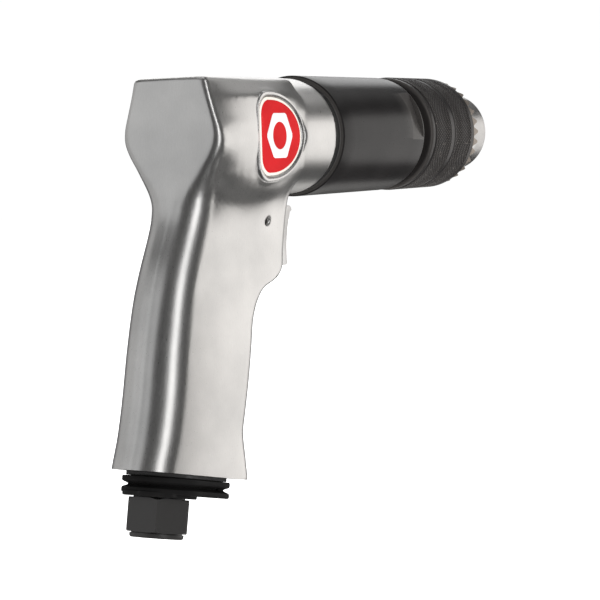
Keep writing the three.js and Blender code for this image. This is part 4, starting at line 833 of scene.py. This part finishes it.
# ---- trigger ----
def makeTrigger():
    t = triggerSizes
    top, tip, behind = -t["topDrop"], bossFront + t["reach"], bossFront - t["paddleBehind"]
    bottom = top - t["height"]
    outline = [(behind, bottom), (tip - 5, bottom), (tip - 4.2, bottom + 0.8)]
    for n in range(17):     # the concave finger face, then the rounded top end
        z = bottom + 1.6 + (top - 2.4 - bottom - 1.6) * n / 16
        share = (z - bottom) / t["height"]
        rise = 4.0 * max(0, share - 0.22) ** 1.9 / 0.78 ** 1.9
        outline.append((tip - 4.6 + rise - 0.2 * math.sin(math.pi * share), z))
    outline += [(tip - 0.55, top - 1.6), (tip - 0.75, top - 0.9), (tip - 1.3, top - 0.35), (tip - 2.1, top),
                (behind, top)]
    rings = [[(x, y, z) for x, z in outline] for y in (-t["halfWidth"], t["halfWidth"])]
    paddle = stacked("fingerTrigger", rings)
    half, inset, lugHalf = t["hollowHalfWidth"], t["hollowInset"], t["lugHalfWidth"]
    hollow = cuboid((behind - 1, -half, bottom + inset), (tip - t["wall"] - 4, half, top - inset))
    combine(paddle, [hollow])
    lug = cuboid((lugBack, -lugHalf, lugZ - t["lugHeight"] / 2),
                 (tip - t["wall"] - 3, lugHalf, lugZ + t["lugHeight"] / 2))
    combine(paddle, [lug], "UNION")
    play = t["pinRadius"] + t["gap"]     # the slot that the pin slides in
    combine(paddle, [cuboid((pinSpot[0] - play, -20, pinSpot[1] - play),
                            (pinSpot[0] + t["travel"] + play, 20, pinSpot[1] + play))])
    softenEdges(paddle, 0.35, 3, 30)
    return place(paddle, "trigger_assembly", satinSteel, "satin_steel", "trigger", angle=35)


makeTrigger()
pinSizes = {"end": 9.4, "radius": 1.1, "shoulder": 1.05, "tip": 0.75}
pinEnd, shoulder, pinTip = pinSizes["end"], pinSizes["shoulder"], pinSizes["tip"]
pin = turned("triggerPin", [(-pinEnd, 0), (-pinEnd, pinTip), (-pinEnd + 0.3, shoulder),
                            (-pinEnd + 0.6, pinSizes["radius"]), (pinEnd - 0.6, pinSizes["radius"]),
                            (pinEnd - 0.3, shoulder), (pinEnd, pinTip), (pinEnd, 0)], 32,
             Matrix.Translation((pinSpot[0], 0, pinSpot[1])) @ Matrix.Rotation(math.radians(90), 4, "Z"))
place(pin, "housing", footSteel, "black_steel", "trigger_pin")
print("trigger made")


# ---- foot: gasket, deflector and inlet ----
deflectorSizes = {
    "length": 42, "width": 27, "ribTop": -1.4, "grooveTop": -3.3, "lowerRib": -4.9, "bottom": -6.8,
    "boss": -7.8, "bossRadius": 12, "inset": 2.05, "inletHole": 8.6, "exhaustHole": 6.6, "outlet": 0.8,
    "gasketLength": 39.6, "gasketWidth": 24.6,
}


# A ring of a straight-sided oval, drawn in by inset.
def ovalRing(length, width, inset, z, fine=40):
    straight = (length - width) / 2
    radius = width / 2 - inset
    points = []
    for side, start in ((1, -90), (-1, 90)):
        for n in range(fine + 1):
            angle = math.radians(start + 180 * n / fine)
            points.append((side * straight + radius * math.cos(angle), radius * math.sin(angle), z))
    return points


def makeFoot():
    d = deflectorSizes
    inlet, exhaust = -footSizes["inletBehind"], footSizes["exhaustAhead"]
    deep, ribTop, grooveTop, lowerRib, bottom = (
        d["inset"], d["ribTop"], d["grooveTop"], d["lowerRib"], d["bottom"])
    shape = [(0.35, ribTop), (0.06, ribTop - 0.2), (0, ribTop - 0.55), (0, grooveTop + 0.6),
             (0.1, grooveTop + 0.25), (0.5, grooveTop - 0.05), (deep - 0.25, grooveTop - 0.5),
             (deep, grooveTop - 0.8), (deep - 0.25, lowerRib + 0.5), (0.5, lowerRib + 0.05),
             (0.1, lowerRib - 0.25), (0, lowerRib - 0.6), (0, bottom + 0.55), (0.08, bottom + 0.2),
             (0.45, bottom)]
    plate = stacked("exhaustDeflector", [ovalRing(d["length"], d["width"], i, z) for i, z in shape],
                    footToDrill)
    face, radius = d["boss"], d["bossRadius"]
    boss = turned("tool", [(face, 0), (face, radius - 0.35), (face + 0.35, radius), (bottom + 0.5, radius),
                           (bottom + 0.5, 0)], 96,
                  footToDrill @ Matrix.Translation((inlet, 0, 0)) @ upright)
    combine(plate, [boss], "UNION")
    middle = (grooveTop + lowerRib) / 2
    tools = [footBar(inlet, -20, 9, d["inletHole"], 64), footBar(exhaust, middle, 9, d["exhaustHole"])]
    start = footToDrill @ Vector((exhaust, 0, middle))
    for side in (-1, 1):     # small outlets to both sides, in the groove
        tools.append(bar(start, footToDrill @ Vector((exhaust, side * 30, middle)), d["outlet"], 24))
    combine(plate, tools)
    place(plate, "housing", footSteel, "black_steel", "exhaust_deflector", angle=35)

    sheet = ((0.1, -1.25), (0, -1.15), (0, -0.15), (0.1, -0.05))
    gasket = stacked("deflectorGasket", [ovalRing(d["gasketLength"], d["gasketWidth"], i, z)
                                         for i, z in sheet], footToDrill)
    combine(gasket, [footBar(inlet, -9, 9, d["inletHole"], 64),
                     footBar(exhaust, -9, 9, d["exhaustHole"])])
    place(gasket, "housing", blackRubber, "black_rubber", "deflector_gasket", angle=35)


hexSizes = {
    "acrossFlats": 19, "top": -8.1, "bottom": -19.1, "collar": footSizes["collarFace"],
    "collarRadius": 8.7, "thread": 8.3, "threadTop": 16, "bore": 5.7, "innerBore": 4.1, "pitch": 1.34,
    "threadDepth": 0.55, "mouth": 0.6,
}


def makeInlet():
    h = hexSizes
    foot = footToDrill @ Matrix.Translation((-footSizes["inletBehind"], 0, 0))
    top, bottom, face, wide = h["top"], h["bottom"], h["collar"], h["collarRadius"]
    corner = h["acrossFlats"] / 2 / math.cos(math.pi / 6)
    outline = [(corner * math.cos(math.radians(30 + 60 * n)), corner * math.sin(math.radians(30 + 60 * n)))
               for n in range(6)]
    bushing = stacked("inletBushing", [[(x, y, z) for x, y in outline] for z in (bottom, top)], foot)
    cone = turned("tool", [(bottom, 0), (bottom, corner - 1.15), (bottom + 0.75, corner + 0.4),
                           (top - 0.75, corner + 0.4), (top, corner - 1.15), (top, 0)], 128, foot @ upright)
    combine(bushing, [cone], "INTERSECT")
    collar = turned("tool", [(face, 0), (face, wide - 0.6), (face + 0.2, wide - 0.2), (face + 0.6, wide),
                             (bottom - 0.3, wide), (bottom - 0.3, wide - 0.5), (bottom + 1, wide - 0.5),
                             (bottom + 1, 0)], 96, foot @ upright)
    thread, threadTop = h["thread"], h["threadTop"]
    stem = turned("tool", [(top - 1, 0), (top - 1, thread), (threadTop - 0.6, thread),
                           (threadTop, thread - 0.6), (threadTop, 0)], 64, foot @ upright)
    combine(bushing, [collar, stem], "UNION")
    bore, innerBore = h["bore"], h["innerBore"]
    mouth, root = bore + h["mouth"], bore + h["threadDepth"]
    points = [(face - 1, 0), (face - 1, mouth), (face, mouth), (face + 0.5, bore)]
    x = face + 0.8
    while x < top - 1:     # the crests and roots of the hose thread
        points += [(x, bore), (x + h["pitch"] * 0.45, root), (x + h["pitch"] * 0.55, root)]
        x += h["pitch"]
    points += [(top, bore), (top, innerBore), (threadTop + 1, innerBore), (threadTop + 1, 0)]
    combine(bushing, [turned("tool", points, 64, foot @ upright)])
    softenEdges(bushing, 0.14, 2, 35)
    return place(bushing, "housing", hexSteel, "black_steel", "inlet_bushing", angle=28)


makeFoot()
makeInlet()
print("foot made")

# ---- carried-over pieces of the frame ----
slotOf = {entry["node"]: entry["material_slot"] for entry in record["subparts"]}
for node, piece in frame["nodes"].items():
    piece.data.materials.clear()
    piece.data.materials.append(slotFinish[slotOf[node]])
    shadeSmooth(piece, 30)
print("inner pieces finished")

# ---- camera, floor and light ----
cameraSetup = {"spot": (-0.54815, -0.3511, 0.0659), "turn": -60.673, "tilt": -4.52, "roll": -1.689,
               "lens": 120, "sensor": 36}
cameraData = bpy.data.cameras.new("camera")
cameraData.lens = cameraSetup["lens"]
cameraData.sensor_width = cameraSetup["sensor"]
cameraData.clip_start, cameraData.clip_end = 0.02, 30
camera = bpy.data.objects.new("camera", cameraData)
bpy.context.scene.collection.objects.link(camera)
aim = (Matrix.Rotation(math.radians(cameraSetup["turn"]), 4, "Z")
       @ Matrix.Rotation(math.radians(90 + cameraSetup["tilt"]), 4, "X")
       @ Matrix.Rotation(math.radians(cameraSetup["roll"]), 4, "Z"))
camera.matrix_world = Matrix.Translation(cameraSetup["spot"]) @ aim
bpy.context.scene.camera = camera

studio = {
    "floorDrop": 0.16, "floorReach": 6.0, "floorGlow": 0.9, "floorRough": 0.9,
    "floorDark": (0.90, 0.90, 0.90), "floorColour": (0.93, 0.93, 0.93),
    "backdrop": 1.02, "fill": 0.85, "shade": 0.07,
    "lamps": (   # name, direction (degrees round Z, degrees up), distance, width, height, glow, colour
        ("keyBox", (-31, -2), 1.3, 1.15, 0.95, 1.20, (1.0, 0.975, 0.95)),
        ("keyHigh", (-24, 42), 1.3, 1.1, 0.55, 0.42, (1.0, 0.99, 0.98)),
        ("keyLow", (-36, -56), 1.3, 1.1, 0.6, 0.42, (1.0, 0.985, 0.97)),
        ("rearStrip", (238, 8), 1.2, 0.44, 1.8, 1.9, (1.0, 1.0, 1.0)),
        ("leftFill", (150, 8), 1.3, 0.95, 1.6, 0.56, (0.98, 0.99, 1.0)),
        ("leftWrap", (102, 4), 1.3, 1.35, 1.3, 0.42, (1.0, 1.0, 1.0)),
        ("backGlow", (38, 30), 1.6, 1.4, 0.95, 1.5, (1.0, 1.0, 1.0)),
        ("backLow", (34, -34), 1.6, 1.3, 0.8, 0.7, (1.0, 0.98, 0.95)),
        ("topSoft", (120, 80), 1.4, 0.9, 0.9, 0.7, (1.0, 1.0, 1.0)),
    ),
}


def addLamp(name, way, distance, width, height, glow, colour):
    data = bpy.data.lights.new(name, "AREA")
    data.shape = "RECTANGLE"
    data.size, data.size_y = width, height
    data.energy = glow * math.pi * width * height
    data.color = colour
    lamp = bpy.data.objects.new(name, data)
    bpy.context.scene.collection.objects.link(lamp)
    turn, up = math.radians(way[0]), math.radians(way[1])
    out = Vector((math.cos(turn) * math.cos(up), math.sin(turn) * math.cos(up), math.sin(up)))
    middle = (cadLow + cadHigh) / 2
    lamp.location = middle + out * distance
    lamp.rotation_mode = "QUATERNION"
    lamp.rotation_quaternion = out.to_track_quat("Z", "Y")
    lamp.visible_camera = False


for lamp in studio["lamps"]:
    addLamp(*lamp)

floorZ, floorEdge = cadLow.z - studio["floorDrop"], studio["floorReach"]
floorMesh = bpy.data.meshes.new("studioFloor")
floorCorners = [(x * floorEdge, y * floorEdge, floorZ) for x, y in ((-1, -1), (1, -1), (1, 1), (-1, 1))]
floorMesh.from_pydata(floorCorners, [], [(0, 1, 2, 3)])
floor = bpy.data.objects.new("studioFloor", floorMesh)
bpy.context.scene.collection.objects.link(floor)
floorPaint, floorTree, floorShader, floorPlace = startFinish("floorPaint")
floorStops = ((0.3, studio["floorDark"]), (0.7, studio["floorColour"]))
floorColour = ramp(floorTree, grain(floorTree, floorPlace, 3, 2), floorStops)
floorTree.links.new(floorColour, floorShader.inputs["Base Color"])
floorShader.inputs["Roughness"].default_value = studio["floorRough"]
floorShader.inputs["Emission Color"].default_value = (1, 1, 1, 1)
floorShader.inputs["Emission Strength"].default_value = studio["floorGlow"]
floorMesh.materials.append(floorPaint)
floor.visible_glossy = False
floor.visible_shadow = False

world = bpy.data.worlds.new("studio")
bpy.context.scene.world = world
world.use_nodes = True
tree = world.node_tree
tree.nodes.clear()
rays = tree.nodes.new("ShaderNodeLightPath")
out = tree.nodes.new("ShaderNodeOutputWorld")
layers = []
for strength in (studio["shade"], studio["fill"], studio["backdrop"]):
    layer = tree.nodes.new("ShaderNodeBackground")
    layer.inputs["Strength"].default_value = strength
    layer.inputs["Color"].default_value = (1, 1, 1, 1)
    layers.append(layer.outputs[0])
shown = layers[0]
for share, layer in (("Is Diffuse Ray", layers[1]), ("Is Camera Ray", layers[2])):
    mixed = tree.nodes.new("ShaderNodeMixShader")
    tree.links.new(rays.outputs[share], mixed.inputs[0])
    tree.links.new(shown, mixed.inputs[1])
    tree.links.new(layer, mixed.inputs[2])
    shown = mixed.outputs[0]
tree.links.new(shown, out.inputs[0])
bpy.context.scene.view_settings.view_transform = "Standard"
print("studio set")
